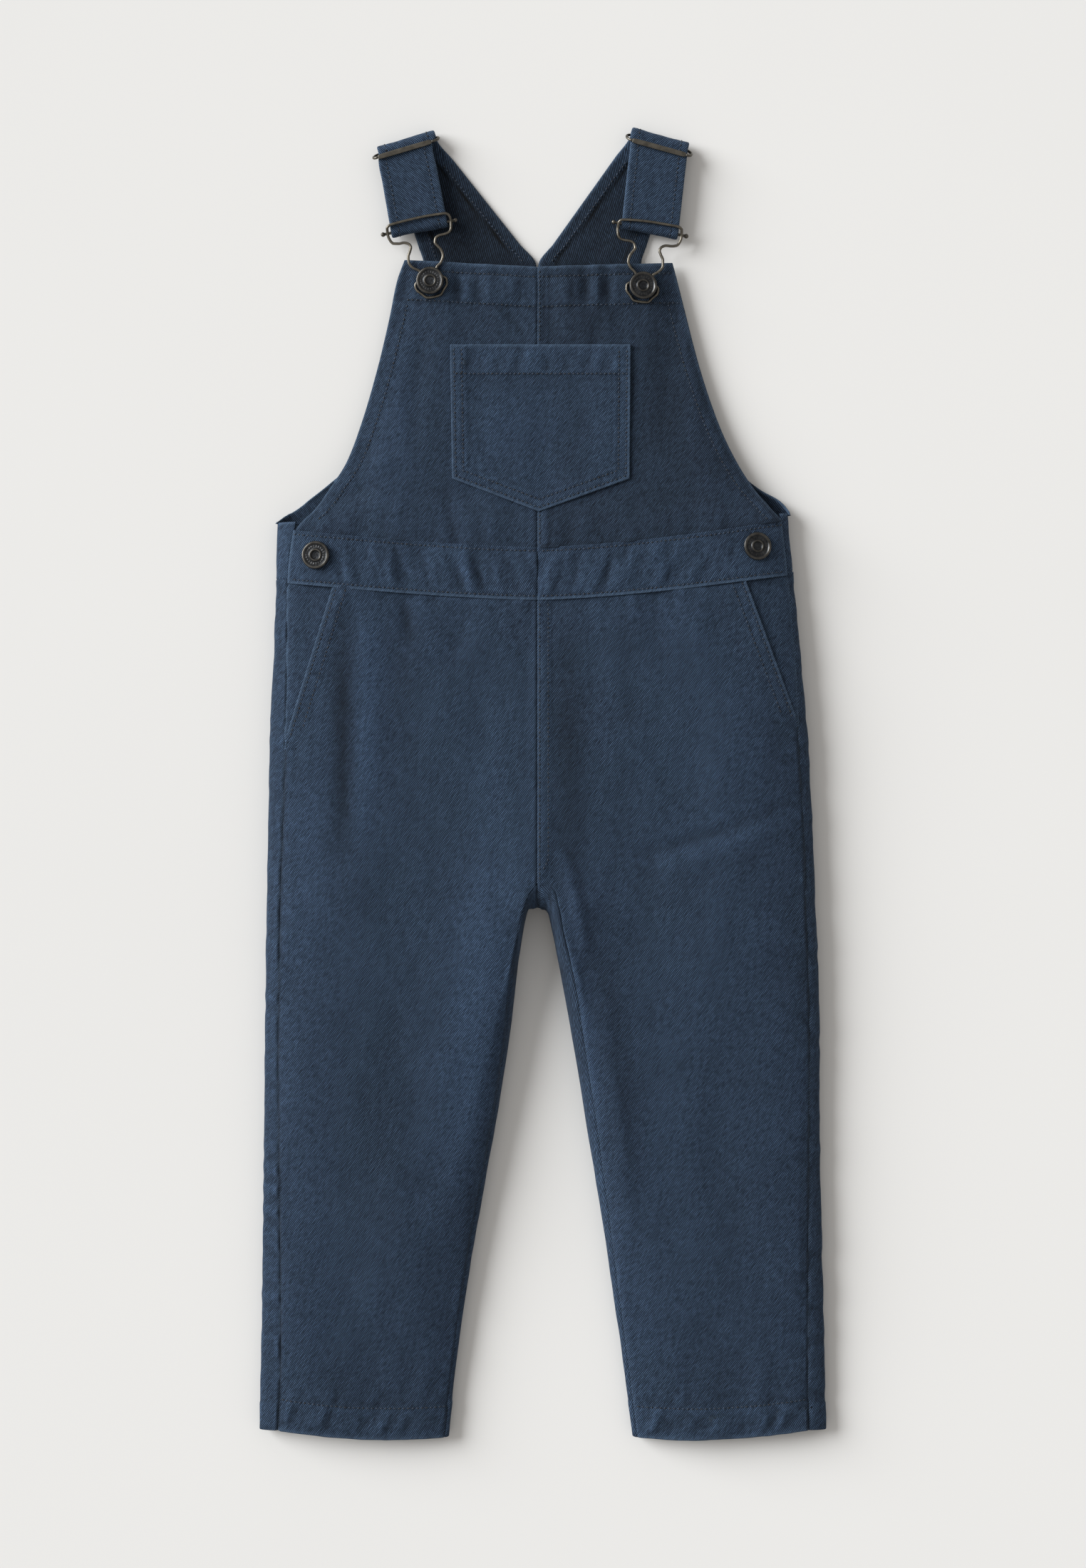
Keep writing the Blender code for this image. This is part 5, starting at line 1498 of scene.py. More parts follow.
@dataclass
class PocketFacing:
    """Side piece behind the slant pocket mouth, folded at its outer edge."""

    form: Form
    side: Side
    under_front: float = 12.0
    rows: int = 90
    columns: int = 46

    def make(self, finishes: Finishes) -> list[Piece]:
        """Build the facing: level with the front at the side and a layer below it at the mouth.

        Args:
            finishes: The garment's finishes.

        Returns:
            The facing.
        """
        form, side, sign = self.form, self.side, self.side.sign
        top_x, top_y, foot_x, foot_y = form.slants[side]
        foot = foot_y - 6.0
        part = np.linspace(0.0, 1.0, self.rows)[:, None]
        t = np.linspace(0.0, 1.0, self.columns)[None]
        height = form.lines["band_bottom"][0 if side is Side.LEFT else 1]
        y = height + (foot - height) * part
        mouth = sign * (foot_x + (top_x - foot_x) * (y - foot_y) / (top_y - foot_y))
        start = form.outseam_x(side, y) + sign * 0.6
        x = start + (mouth - sign * self.under_front - start) * t
        line = form.line_at("band_bottom", side, x) + 0.5
        y = line + (foot - line) * part
        depth = (0.25 + (CLOTH_WALL + LAYER_GAP
                         - 0.25) * ease(sign * (form.outseam_x(side, y) - x) / 16))
        seed = 61 + sign
        pits = (Crease((sign * 148, 119), (sign * 132, 118), 3.2, -0.9),
                Crease((sign * 153, 70), (sign * 139, 92), 3.5, -0.7),
                Crease((sign * 152, 84), (sign * 138, 104), 4, 0.5))
        relief = 0.3 * soft_noise(x, y, (12, 9), seed) + creased(pits, x, y)
        relief += (0.3 * soft_noise(x, y, (9, 6),
                                    seed + 2) * np.exp(-np.maximum(sign * (start - x), 0) / 5))
        z = (form.front_height(side, x, y) - depth
             + relief * ease(sign * (start - x) / 3) * ease((mouth - x) * sign / 3))
        # Painted shade under the waistband and a painted highlight along the folded outer edge
        tone = -0.3 * bell(y - line, 7) + 0.1 * bell(start - x, 5)
        points = np.stack(np.broadcast_arrays(x, y, z), axis=-1)
        sheet = Sheet(points, weave_of(points, -sign), np.broadcast_to(tone, z.shape))
        cloth = lay_cloth("denim_facing_" + side.label, sheet,
                          {Rim.FIRST_COLUMN: roll_edge(0.35, 4.0), Rim.LAST_ROW: tuck_edge(1.0)},
                          {Rim.FIRST_COLUMN: 0.45}, finishes, "pocket_facing_" + side.label)
        return [cloth]


@dataclass
class FrontBand:
    """Half of the front waistband: doubled cloth that laps over the bib and the trousers."""

    form: Form
    side: Side
    rows: int = 34
    columns: int = 180
    lap: float = 1.9
    raise_by: float = 0.55
    stitches: tuple[float, float] = (2.0, 2.1)

    def bounds(self, x: Array) -> tuple[Array, Array]:
        """Bottom and top of the band over X."""
        bottom = self.form.line_at("band_bottom", self.side, x) - self.lap
        return bottom, self.form.line_at("band_top", self.side, x) + 0.3

    def relief(self, x: Array, y: Array) -> Array:
        """Upright puckers between the two rows of stitches, dips at the rows, and the raised band.

        Args:
            x: X of plan points.
            y: Y of plan points.

        Returns:
            Height over the smooth form.
        """
        bottom, top = self.bounds(x)
        low, high = y - bottom, top - y
        seed = 81 + self.side.sign
        between = np.sin(np.pi * np.clip((y - bottom - 2) / (top - bottom - 4), 0.0, 1.0)) ** 0.6
        slant = x - 0.25 * y * self.side.sign
        height = (1.4 * soft_noise(slant, y, (6.6, 30), seed)
                  + 0.5 * soft_noise(slant, y, (3.8, 14), seed + 2)) * between
        button = 118 if self.side is Side.LEFT else 112
        height = height * (1 - 0.7 * ease((self.side.sign * x - button) / 10))
        height = (height - 0.3 * bell(low - self.stitches[1], 0.8)
                  - 0.3 * bell(high - self.stitches[0], 0.8))
        return height + self.raise_by - 0.5 * bell(x - CENTRE_X, 0.8)

    def face(self, x: Array, y: Array) -> Array:
        """Height of the band's outer face."""
        return self.form.front_height(self.side, x, y) + self.relief(x, y)

    def make(self, finishes: Finishes) -> list[Piece]:
        """Build the band half and its two rows of stitches.

        Args:
            finishes: The garment's finishes.

        Returns:
            The band half and its stitches.
        """
        side, sign = self.side, self.side.sign
        t = np.linspace(0.0, 1.0, self.columns)[None]
        start = self.form.outseam_x(side, np.float64(140.0)) + sign * 0.2
        x = start + (CENTRE_X - start) * t
        bottom, top = self.bounds(x)
        y = bottom + (top - bottom) * np.linspace(0.0, 1.0, self.rows)[:, None]
        x = (np.broadcast_to(x, y.shape)
             + (self.form.outseam_x(side, y) + sign * 0.2 - start) * (1 - t) ** 6)
        points = np.stack([x, y, self.face(x, y)], axis=-1)
        # Painted light and shade across the upright puckers, on nearly the same lattice, and the
        # band a little lighter overall
        tone = 0.22 * soft_noise(x - 0.25 * y * sign, y, (7.2, 30), 81 + sign) + 0.06
        sheet = Sheet(points, weave_of(points, -sign), tone)
        rows = Stitching("stitches_band_" + side.label, finishes.thread)
        x = np.linspace(start - sign * 1.5, CENTRE_X + sign * 0.8, 240)
        bottom, top = self.bounds(x)
        rows.drape(self.face, x, bottom + self.stitches[1])
        rows.drape(self.face, x, top - self.stitches[0])
        stitches = rows.make()
        cloth = lay_cloth("denim_band_" + side.label, sheet,
                          {Rim.FIRST_ROW: roll_edge(0.4, 3.0), Rim.LAST_ROW: roll_edge(0.35, 3.0),
                           Rim.FIRST_COLUMN: roll_edge(0.45, 4.0), Rim.LAST_COLUMN: tuck_edge(1.0)},
                          {Rim.FIRST_ROW: 0.5, Rim.FIRST_COLUMN: 0.55}, finishes,
                          "waistband_front_" + side.label)
        return [cloth, stitches]


@dataclass
class BackBand:
    """Back waistband, wrapped round both sides to the front bands."""

    form: Form
    rows: int = 26
    columns: int = 150

    def make(self, finishes: Finishes) -> list[Piece]:
        """Build the band: each half runs round the outside and over the floor to the middle.

        Args:
            finishes: The garment's finishes.

        Returns:
            The band.
        """
        form = self.form
        halves = []
        for side in Side:
            back = TrouserBack(form, side)
            low = form.lines["back_bottom"][0 if side is Side.LEFT else 1]
            high = form.lines["back_top"][0 if side is Side.LEFT else 1]
            heights = low + (high - low) * np.linspace(0.0, 1.0, 4)
            named = [np.concatenate([even(back.outside(y)[:, :3], 70),
                                     np.linspace(back.outside(y)[-1, :3], (CENTRE_X, y, 0.0),
                                                 self.columns - 69)[1:]])
                     for y in heights]
            halves.append(glide(heights, np.array(named), np.linspace(low, high, self.rows)))
        points = np.concatenate([halves[0], halves[1][:, -2::-1]], axis=1)
        part = np.linspace(0.0, 1.0, self.rows)[:, None]
        bottom, top = form.back_line("back_bottom",
                                     points[..., 0]), form.back_line("back_top", points[..., 0])
        points[..., 1] = bottom + (top - bottom) * part
        run = np.linalg.norm(np.diff(points, axis=1, prepend=points[:, :1]), axis=-1).cumsum(axis=1)
        ends = np.minimum(run, run[:, -1:] - run)
        x, y, z = (points[..., axis] for axis in range(3))
        height = (0.4 * soft_noise(x + z, y, (30, 9),
                                   97) * ease(ends / 2) * ease(z / 3) * np.sin(np.pi * part))
        height = height - 0.4 * bell(ends, 0.8) - 0.35 * bell(y - bottom, 0.8) * ease(z / 3)
        # Painted highlight where the band rounds the sides, near its ends
        tone = 0.25 * bell(ends - 5, 5)
        normal = Sheet(points, points[..., :2], z, outward_up=False).layers()[..., 3:6]
        points = points + normal * height[..., None]
        points[..., 2] = np.maximum(points[..., 2], 0.0)
        sheet = Sheet(points, weave_of(points, -1), tone, outward_up=False)
        cloth = lay_cloth("denim_band_back", sheet,
                          {Rim.FIRST_ROW: tuck_edge(0.9), Rim.LAST_ROW: roll_edge(0.5, 5.0),
                           Rim.FIRST_COLUMN: tuck_edge(0.9), Rim.LAST_COLUMN: tuck_edge(0.9)},
                          {Rim.LAST_ROW: 0.4}, finishes, "waistband_back")
        return [cloth]


@dataclass
class BibHalf:
    """Half of the bib: turned side and top, doubled top band, facing along the side."""

    form: Form
    side: Side
    rows: int = 180
    columns: int = 130
    facing: float = 8.6
    top_stitches: tuple[float, float] = (5.6, 23.8)
    creases: dict[Side, tuple[Crease, ...]] = field(default_factory=lambda: {
        Side.LEFT: (
            Crease((-84, 296), (-94, 190), 8, 0.55, 3), Crease((-70, 292), (-78, 200), 6, -0.5, -2),
            Crease((-112, 186), (-80, 204), 6, 0.5), Crease((-132, 166), (-96, 184), 5, -0.55, 2),
            Crease((-55, 150), (-60, 182), 4.5, -0.6), Crease((-92, 156), (-84, 180), 5, 0.45),
            Crease((-28, 290), (-8, 268), 3.5, -0.6, 2), Crease((-30, 148), (-34, 166), 4, 0.4)),
        Side.RIGHT: (
            Crease((34, 292), (30, 250), 5, -0.5), Crease((66, 290), (76, 190), 9, -0.5, 3),
            Crease((86, 280), (104, 190), 9, 0.45, -3), Crease((140, 168), (96, 190), 6, 0.5, 2),
            Crease((126, 164), (84, 178), 5, -0.5), Crease((52, 150), (56, 176), 5, -0.45),
            Crease((22, 146), (26, 168), 5, 0.45), Crease((8, 290), (16, 270), 4, 0.35))})

    def top_y(self, x: Array) -> Array:
        """Height of the bib's top edge over X.

        Args:
            x: X of plan points.

        Returns:
            Y of the edge.
        """
        left, right = 318.8, 317.0
        outer = left if self.side is Side.LEFT else right
        u = np.clip(1 - (x - CENTRE_X) / (self.side.sign * 80.0 - CENTRE_X), 0.0, 1.0)
        return outer + (314.3 - outer) * u

    def edge_x(self, y: Array) -> Array:
        """The bib's side edge."""
        return self.side.sign * self.form.bib.at(self.side.label, y)

    def relief(self, x: Array, y: Array) -> Array:
        """Folds of the bib: soft noise, creases, upright puckers in the top band, a raised
        facing at the side, a raised pocket outline left flat, and dips at stitches.

        Args:
            x: X of plan points.
            y: Y of plan points.

        Returns:
            Height over the smooth form.
        """
        sign = self.side.sign
        side_gap, top_gap = sign * (self.edge_x(y) - x), self.top_y(x) - y
        centre = sign * (x - CENTRE_X)
        low = y - self.form.line_at("band_top", self.side, x)
        seed = 101 + sign
        calm = ease(side_gap / 6) * ease(centre / 5)
        pocket = ease((57 - np.abs(x + 1.6)) / 5) * ease((265 - y) / 5) * ease((y - 176) / 10)
        calm = calm * (1 - 0.75 * pocket)
        height = (0.8 * soft_noise(x, y, (16, 70), seed)
                  + 0.35 * soft_noise(x, y, (9, 22), seed + 3)) * calm
        height += 1.5 * creased(self.creases[self.side], x, y) * calm
        rows = self.top_stitches
        between = np.sin(np.pi * np.clip((top_gap - rows[0]) / (rows[1] - rows[0]), 0.0,
                                         1.0)) ** 0.6
        pucker = soft_noise(x, y, (6.5, 30), seed + 6)
        height += (1.2 * pucker * between * ease(side_gap / 4)
                   + 0.6 * pucker * np.exp(-np.maximum(top_gap - rows[1], 0) / 14) * calm)
        height += 0.35 * pucker * ease((rows[0] - top_gap) / 3)
        height += (0.4 * (1 - ease((top_gap - rows[1]) / 1.4))
                   - 0.3 * (bell(top_gap - rows[0], 0.8) + bell(top_gap - rows[1], 0.8)))
        body = ease((top_gap - rows[1]) / 2)
        height += (0.3 * (1 - ease((side_gap - self.facing) / 1.4)) * body
                   - 0.28 * bell(side_gap - self.facing, 0.8) * body)
        height += 0.25 * soft_noise(x, y, (9, 6), seed + 9) * bell(side_gap - 5, 4) * body
        height += (0.9 * soft_noise(x, y, (7.5, 40),
                                    seed + 12) * np.exp(-np.maximum(low, 0) / 11) * calm)
        height -= 0.5 * bell(centre, 0.8)
        if self.side is Side.RIGHT:
            height += (0.35 * (1 - ease((centre - 6) / 1.3)) * ease(centre / 0.8)
                       - 0.24 * bell(centre - 1.5, 0.7))
        return height

    def face(self, x: Array, y: Array) -> Array:
        """Height of the bib's outer face."""
        return self.form.bib_height(self.side, x, y) + self.relief(x, y)

    def make(self, finishes: Finishes) -> list[Piece]:
        """Build the bib half and its stitches.

        Args:
            finishes: The garment's finishes.

        Returns:
            The bib half and its stitches.
        """
        form, side, sign = self.form, self.side, self.side.sign
        u = np.linspace(0.0, 1.0, self.columns)[None]
        part = np.linspace(0.0, 1.0, self.rows)[:, None]
        bottom = form.seam_line("band_top", side, u)
        top = (318.8 if side is Side.LEFT else 317.0)
        top = top + (314.3 - top) * u
        y = bottom + (top - bottom) * part
        edge = self.edge_x(y[:, :1])
        edge = np.where(part < 0.05, self.edge_x(y[:, :1]), edge)
        x = edge + (CENTRE_X - edge) * u
        points = np.stack([x, y, self.face(x, y)], axis=-1)
        # Listed bands of painted light and shade over the bib's folds
        painted_light_bands = {Side.LEFT: (Crease((-80, 300), (-96, 170), 10, 0.28),
                             Crease((-66, 296), (-74, 210), 6, -0.15),
                             Crease((-118, 190), (-100, 160), 10, 0.12)),
                 Side.RIGHT: (Crease((70, 296), (86, 180), 14, -0.14),
                              Crease((28, 290), (30, 262), 7, -0.15))}[side]
        # Painted shade: the whole bib darker, its right half more so, and a dark line just above
        # the waistband
        tone = (creased(painted_light_bands, x, y) - 0.22 - 0.3 * (sign > 0)
                - 0.2 * bell(y - form.line_at("band_top", side, x), 4))
        sheet = Sheet(points, weave_of(points, -sign), tone)
        stitches = self.stitch(finishes)
        cloth = lay_cloth("denim_bib_" + side.label, sheet,
                          {Rim.FIRST_ROW: tuck_edge(0.9), Rim.LAST_ROW: roll_edge(0.75, 14.0),
                           Rim.FIRST_COLUMN: roll_edge(0.65, 9.0), Rim.LAST_COLUMN: tuck_edge(1.0)},
                          {Rim.LAST_ROW: 0.4, Rim.FIRST_COLUMN: 0.35,
                           Rim.LAST_COLUMN: 0.25 * (sign > 0)}, finishes,
                          "bib_" + side.label)
        return [cloth, stitches]

    def stitch(self, finishes: Finishes) -> Piece:
        """Rows along the side facing, the two rows of the top band, and the centre seam.

        Args:
            finishes: The garment's finishes.

        Returns:
            The stitches.
        """
        side, sign = self.side, self.side.sign
        rows = Stitching("stitches_bib_" + side.label, finishes.thread)
        y = np.linspace(160.0, 293.0, 240)
        rows.drape(self.face, self.edge_x(y) - sign * self.facing, y)
        for gap in self.top_stitches:
            x = np.linspace(sign * 80.0 - sign * (2 if gap < 10 else -3.5), CENTRE_X + sign * 0.8,
                            160)
            rows.drape(self.face, x, self.top_y(x) - gap)
        if side is Side.RIGHT:
            for low, high in ((268.0, 313.0), (144.0, 164.0)):
                y = np.linspace(high, low, 80)
                rows.drape(self.face, np.full(80, CENTRE_X + 1.5), y)
        return rows.make()


@dataclass
class BibPocket:
    """Pointed patch pocket: turned edges, hemmed mouth and two rows of stitches round it."""

    form: Form
    rows: int = 110
    columns: int = 120
    top_y: float = 266.7
    top_half: tuple[float, float] = (-56.0, 52.8)
    foot_half: tuple[float, float] = (-54.6, 52.0)
    side_foot: float = 185.5
    tip: float = 165.5
    hem: float = 17.4
    insets: tuple[float, float] = (1.8, 6.5)

    def foot_y(self, across: Array) -> Array:
        """Height of the pointed foot.

        Args:
            across: Place across, from 0 on the left to 1 on the right.

        Returns:
            Y of the foot.
        """
        middle = (CENTRE_X + 1.0 - self.foot_half[0]) / (self.foot_half[1] - self.foot_half[0])
        half = np.where(across < middle, middle, 1 - middle)
        return self.side_foot + (self.tip - self.side_foot) * (1 - np.abs(across - middle) / half)

    def place(self, across: Array, down: Array) -> tuple[Array, Array]:
        """Plan point of a place across and down the pocket.

        Args:
            across: Share of the width.
            down: Share of the depth.

        Returns:
            X and Y.
        """
        low = self.top_half[0] + (self.foot_half[0] - self.top_half[0]) * down
        high = self.top_half[1] + (self.foot_half[1] - self.top_half[1]) * down
        return low + (high - low) * across, self.top_y + (self.foot_y(across) - self.top_y) * down

    def gaps(self, x: Array, y: Array) -> tuple[Array, Array, Array]:
        """Distances from the sides, the foot and the top of the pocket.

        Args:
            x: X of plan points.
            y: Y of plan points.

        Returns:
            The three distances.
        """
        down = np.clip((self.top_y - y) / (self.top_y - self.side_foot), 0.0, 1.0)
        low = self.top_half[0] + (self.foot_half[0] - self.top_half[0]) * down
        high = self.top_half[1] + (self.foot_half[1] - self.top_half[1]) * down
        across = np.clip((x - low) / (high - low), 0.0, 1.0)
        return np.minimum(x - low, high - x), (y - self.foot_y(across)) * 0.94, self.top_y - y

    def relief(self, x: Array, y: Array) -> Array:
        """Puckered hem, slow folds, and dips at the stitches round the edge.

        Args:
            x: X of plan points.
            y: Y of plan points.

        Returns:
            Height over the smooth form.
        """
        sides, foot, top = self.gaps(x, y)
        near = np.minimum(sides, foot)
        calm = ease(near / 8)
        height = 0.6 * soft_noise(x, y, (13, 60), 121) * calm + 0.16 * soft_noise(x, y, (6, 8), 122)
        pucker = soft_noise(x - 0.2 * y, y, (6.0, 25), 123)
        height += 0.75 * pucker * np.sin(np.pi * np.clip(top / self.hem, 0.0, 1.0)) ** 0.7 * calm
        height += 0.35 * (1 - ease((top - self.hem) / 1.3)) - 0.3 * bell(top - self.hem, 0.8)
        height -= 0.35 * bell(top - self.hem - 3, 3.0) * calm
        for inset in self.insets:
            height -= 0.24 * bell(near - inset, 0.75)
        height += 0.22 * (1 - ease((near - 8.6) / 1.3))
        height += 0.2 * soft_noise(x, y, (5, 5), 124) * bell(near - 5, 3)
        return height + 0.1 * soft_noise(x, y, (30, 30), 125)

    def face(self, x: Array, y: Array) -> Array:
        """Height of the pocket's outer face, a wall and a gap over the bib."""
        return self.form.whole_bib_height(x, y) + CLOTH_WALL + LAYER_GAP + self.relief(x, y)

    def make(self, finishes: Finishes) -> list[Piece]:
        """Build the pocket and its stitches.

        Args:
            finishes: The garment's finishes.

        Returns:
            The pocket and its stitches.
        """
        across, down = np.meshgrid(np.linspace(0.0, 1.0, self.columns),
                                   np.linspace(0.0, 1.0, self.rows))
        x, y = self.place(across, down)
        points = np.stack([x, y, self.face(x, y)], axis=-1)
        # Listed bands of painted light and shade, with a painted highlight on the hem's raised top
        # and painted shade in the dip below it
        painted_light_bands = (Crease((22, 240), (18, 176), 8, -0.2), Crease((-30, 236), (-26, 184), 12, 0.12),
                 Crease((-50, 262), (48, 262), 5, 0.25), Crease((-50, 242), (48, 242), 3, -0.25))
        # Painted light and shade on the hem's puckers, from the same noise as their relief
        tone = (creased(painted_light_bands, x, y)
                + 0.14 * soft_noise(x - 0.2 * y, y, (6.0, 25),
                                    123) * ease((self.hem - (self.top_y - y)) / 3))
        sheet = Sheet(points, np.stack([500 + x, 500 + y], axis=-1), tone)
        rows = Stitching("stitches_pocket", finishes.thread)
        for inset in self.insets:
            width = self.top_half[1] - self.top_half[0]
            low, high = inset / width, 1 - inset / width
            middle = 0.483
            across = np.concatenate([np.full(60, low), np.linspace(low, middle, 60)[1:],
                                     np.linspace(middle, high, 60)[1:], np.full(60, high)[1:]])
            x, y = self.place(across, np.ones_like(across))
            foot = y + inset / 0.94
            y = np.concatenate([np.linspace(self.top_y - 1.5, foot[60], 60), foot[60:178],
                                np.linspace(foot[178], self.top_y - 1.5, 60)[1:]])
            x = self.place(across, np.clip((self.top_y - y) / (self.top_y - self.side_foot), 0.0,
                                           1.0))[0]
            rows.drape(self.face, x, y[:len(x)])
        x = np.linspace(self.top_half[0] + 2, self.top_half[1] - 2, 160)
        rows.drape(self.face, x, np.full(160, self.top_y - self.hem))
        stitches = rows.make()
        cloth = lay_cloth("denim_pocket", sheet,
                          {Rim.FIRST_ROW: roll_edge(0.6, 12.0), Rim.LAST_ROW: roll_edge(0.55, 6.0),
                           Rim.FIRST_COLUMN: roll_edge(0.5, 6.0),
                           Rim.LAST_COLUMN: roll_edge(0.5, 6.0)},
                          {rim: 0.4 for rim in Rim}, finishes, "bib_pocket")
        return [cloth, stitches]


@dataclass
class BackBib:
    """Back above the waistband: lies on the floor but for the rims of its armholes."""

    form: Form
    rows: int = 130
    columns: int = 150
    shape: Table = Table("y left right rim", (
        (158, 161, 148.5, 8.5), (164, 161.5, 149.5, 8), (168, 158, 147.5, 6.5),
        (172, 151, 144, 4.8),
        (179, 141, 133, 2.4), (188, 129.5, 122, .9), (196, 120, 113, .2), (215, 104, 97, 0),
        (240, 91, 86, 0),
        (270, 81, 75, 0), (311, 73, 60, 0)))
    top: float = 311.0
    rim_width: float = 10.0
    facing: float = 7.5

    def face(self, x: Array, y: Array) -> Array:
        """Height of the inner face, which looks up: the wall's thickness over the outer face.

        Args:
            x: X of plan points.
            y: Y of plan points.

        Returns:
            Height over the floor.
        """
        left, right = -self.shape.at("left", y), self.shape.at("right", y)
        near = np.maximum(np.minimum(x - left, right - x), 0.0)
        rim = np.clip(near / self.rim_width, 0.0, 1.0)
        base = self.shape.at("rim", y) * (1 - np.sqrt(1 - (1 - rim) ** 2))
        height = (0.3 * soft_noise(x, y, (16, 30), 141) * ease(near / 4)
                  + 0.2 * (1 - ease((near - self.facing) / 1.3)))
        return base + CLOTH_WALL + 0.25 + height - 0.25 * bell(near - self.facing, 0.8)

    def make(self, finishes: Finishes) -> list[Piece]:
        """Build the piece as a doubled sheet with turned edges, and its stitches.

        Args:
            finishes: The garment's finishes.

        Returns:
            The piece and its stitches.
        """
        part = np.linspace(0.0, 1.0, self.rows)[:, None] ** 1.25
        t = np.linspace(0.0, 1.0, self.columns)[None]
        t = 0.5 * t + 0.5 * (0.5 - 0.5 * np.cos(np.pi * t))
        y = 164.0 + (self.top - 164.0) * part
        x = -self.shape.at("left", y) + (self.shape.at("left", y) + self.shape.at("right", y)) * t
        foot = self.form.back_line("back_top", x)
        y = foot + (self.top - foot) * part
        points = np.stack([x, y, self.face(x, y)], axis=-1)
        points[..., 2] = np.maximum(points[..., 2], 0.9)
        # Painted shade: the whole piece a little darker
        sheet = Sheet(points, np.stack([500 - x, 500 + y], axis=-1), -0.1 * np.ones(x.shape))
        rows = Stitching("stitches_back_bib", finishes.thread)
        y = np.linspace(186.0, 306.0, 240)
        for side in Side:
            edge = side.sign * self.shape.at(side.label, y)
            rows.drape(self.face, edge - side.sign * self.facing, y)
        stitches = rows.make()
        cloth = lay_cloth("denim_back_bib", sheet,
                          {Rim.FIRST_ROW: tuck_edge(0.8), Rim.LAST_ROW: tuck_edge(0.8),
                           Rim.FIRST_COLUMN: roll_edge(0.5, 8.0),
                           Rim.LAST_COLUMN: roll_edge(0.5, 8.0)},
                          {Rim.FIRST_COLUMN: 0.6, Rim.LAST_COLUMN: 0.6}, finishes, "back_bib")
        return [cloth, stitches]


@dataclass(frozen=True)
class StrapLie:
    """Where a strap runs, each place as an outer and an inner end in X and Y."""

    seam_out: tuple[float, float]
    seam_in: tuple[float, float]
    vee: tuple[float, float]
    fold_out: tuple[float, float]
    fold_in: tuple[float, float]
    front_out: tuple[float, float]
    front_in: tuple[float, float]
    pin_out: tuple[float, float]
    pin_in: tuple[float, float]
    bow: float


STRAPS = {
    Side.LEFT: StrapLie((-73.0, 311.4), (-3.9, 311.4), (-4.2, 317.4), (-100.2, 384.2),
                        (-65.2, 394.4),
                        (-100.2, 380.0), (-67.4, 389.7), (-92.6, 335.9), (-58.4, 342.7), 2.5),
    Side.RIGHT: StrapLie((60.0, 311.4), (-3.1, 311.4), (-2.8, 317.4), (88.2, 386.5), (53.4, 396.2),
                         (87.6, 381.2), (53.2, 390.7), (82.4, 334.9), (48.0, 341.6), -2.5)}
STRAP_WALL = 1.9
FRONT_LAYER = 8.45
PIN_RADIUS = 0.9
PIN_LAYER = PIN_RADIUS + 0.3 + STRAP_WALL / 2


def plan_direction(a: tuple[float, float], b: tuple[float, float]) -> Array:
    """Unit plan vector from a to b."""
    return unit(np.subtract(b, a).astype(float))


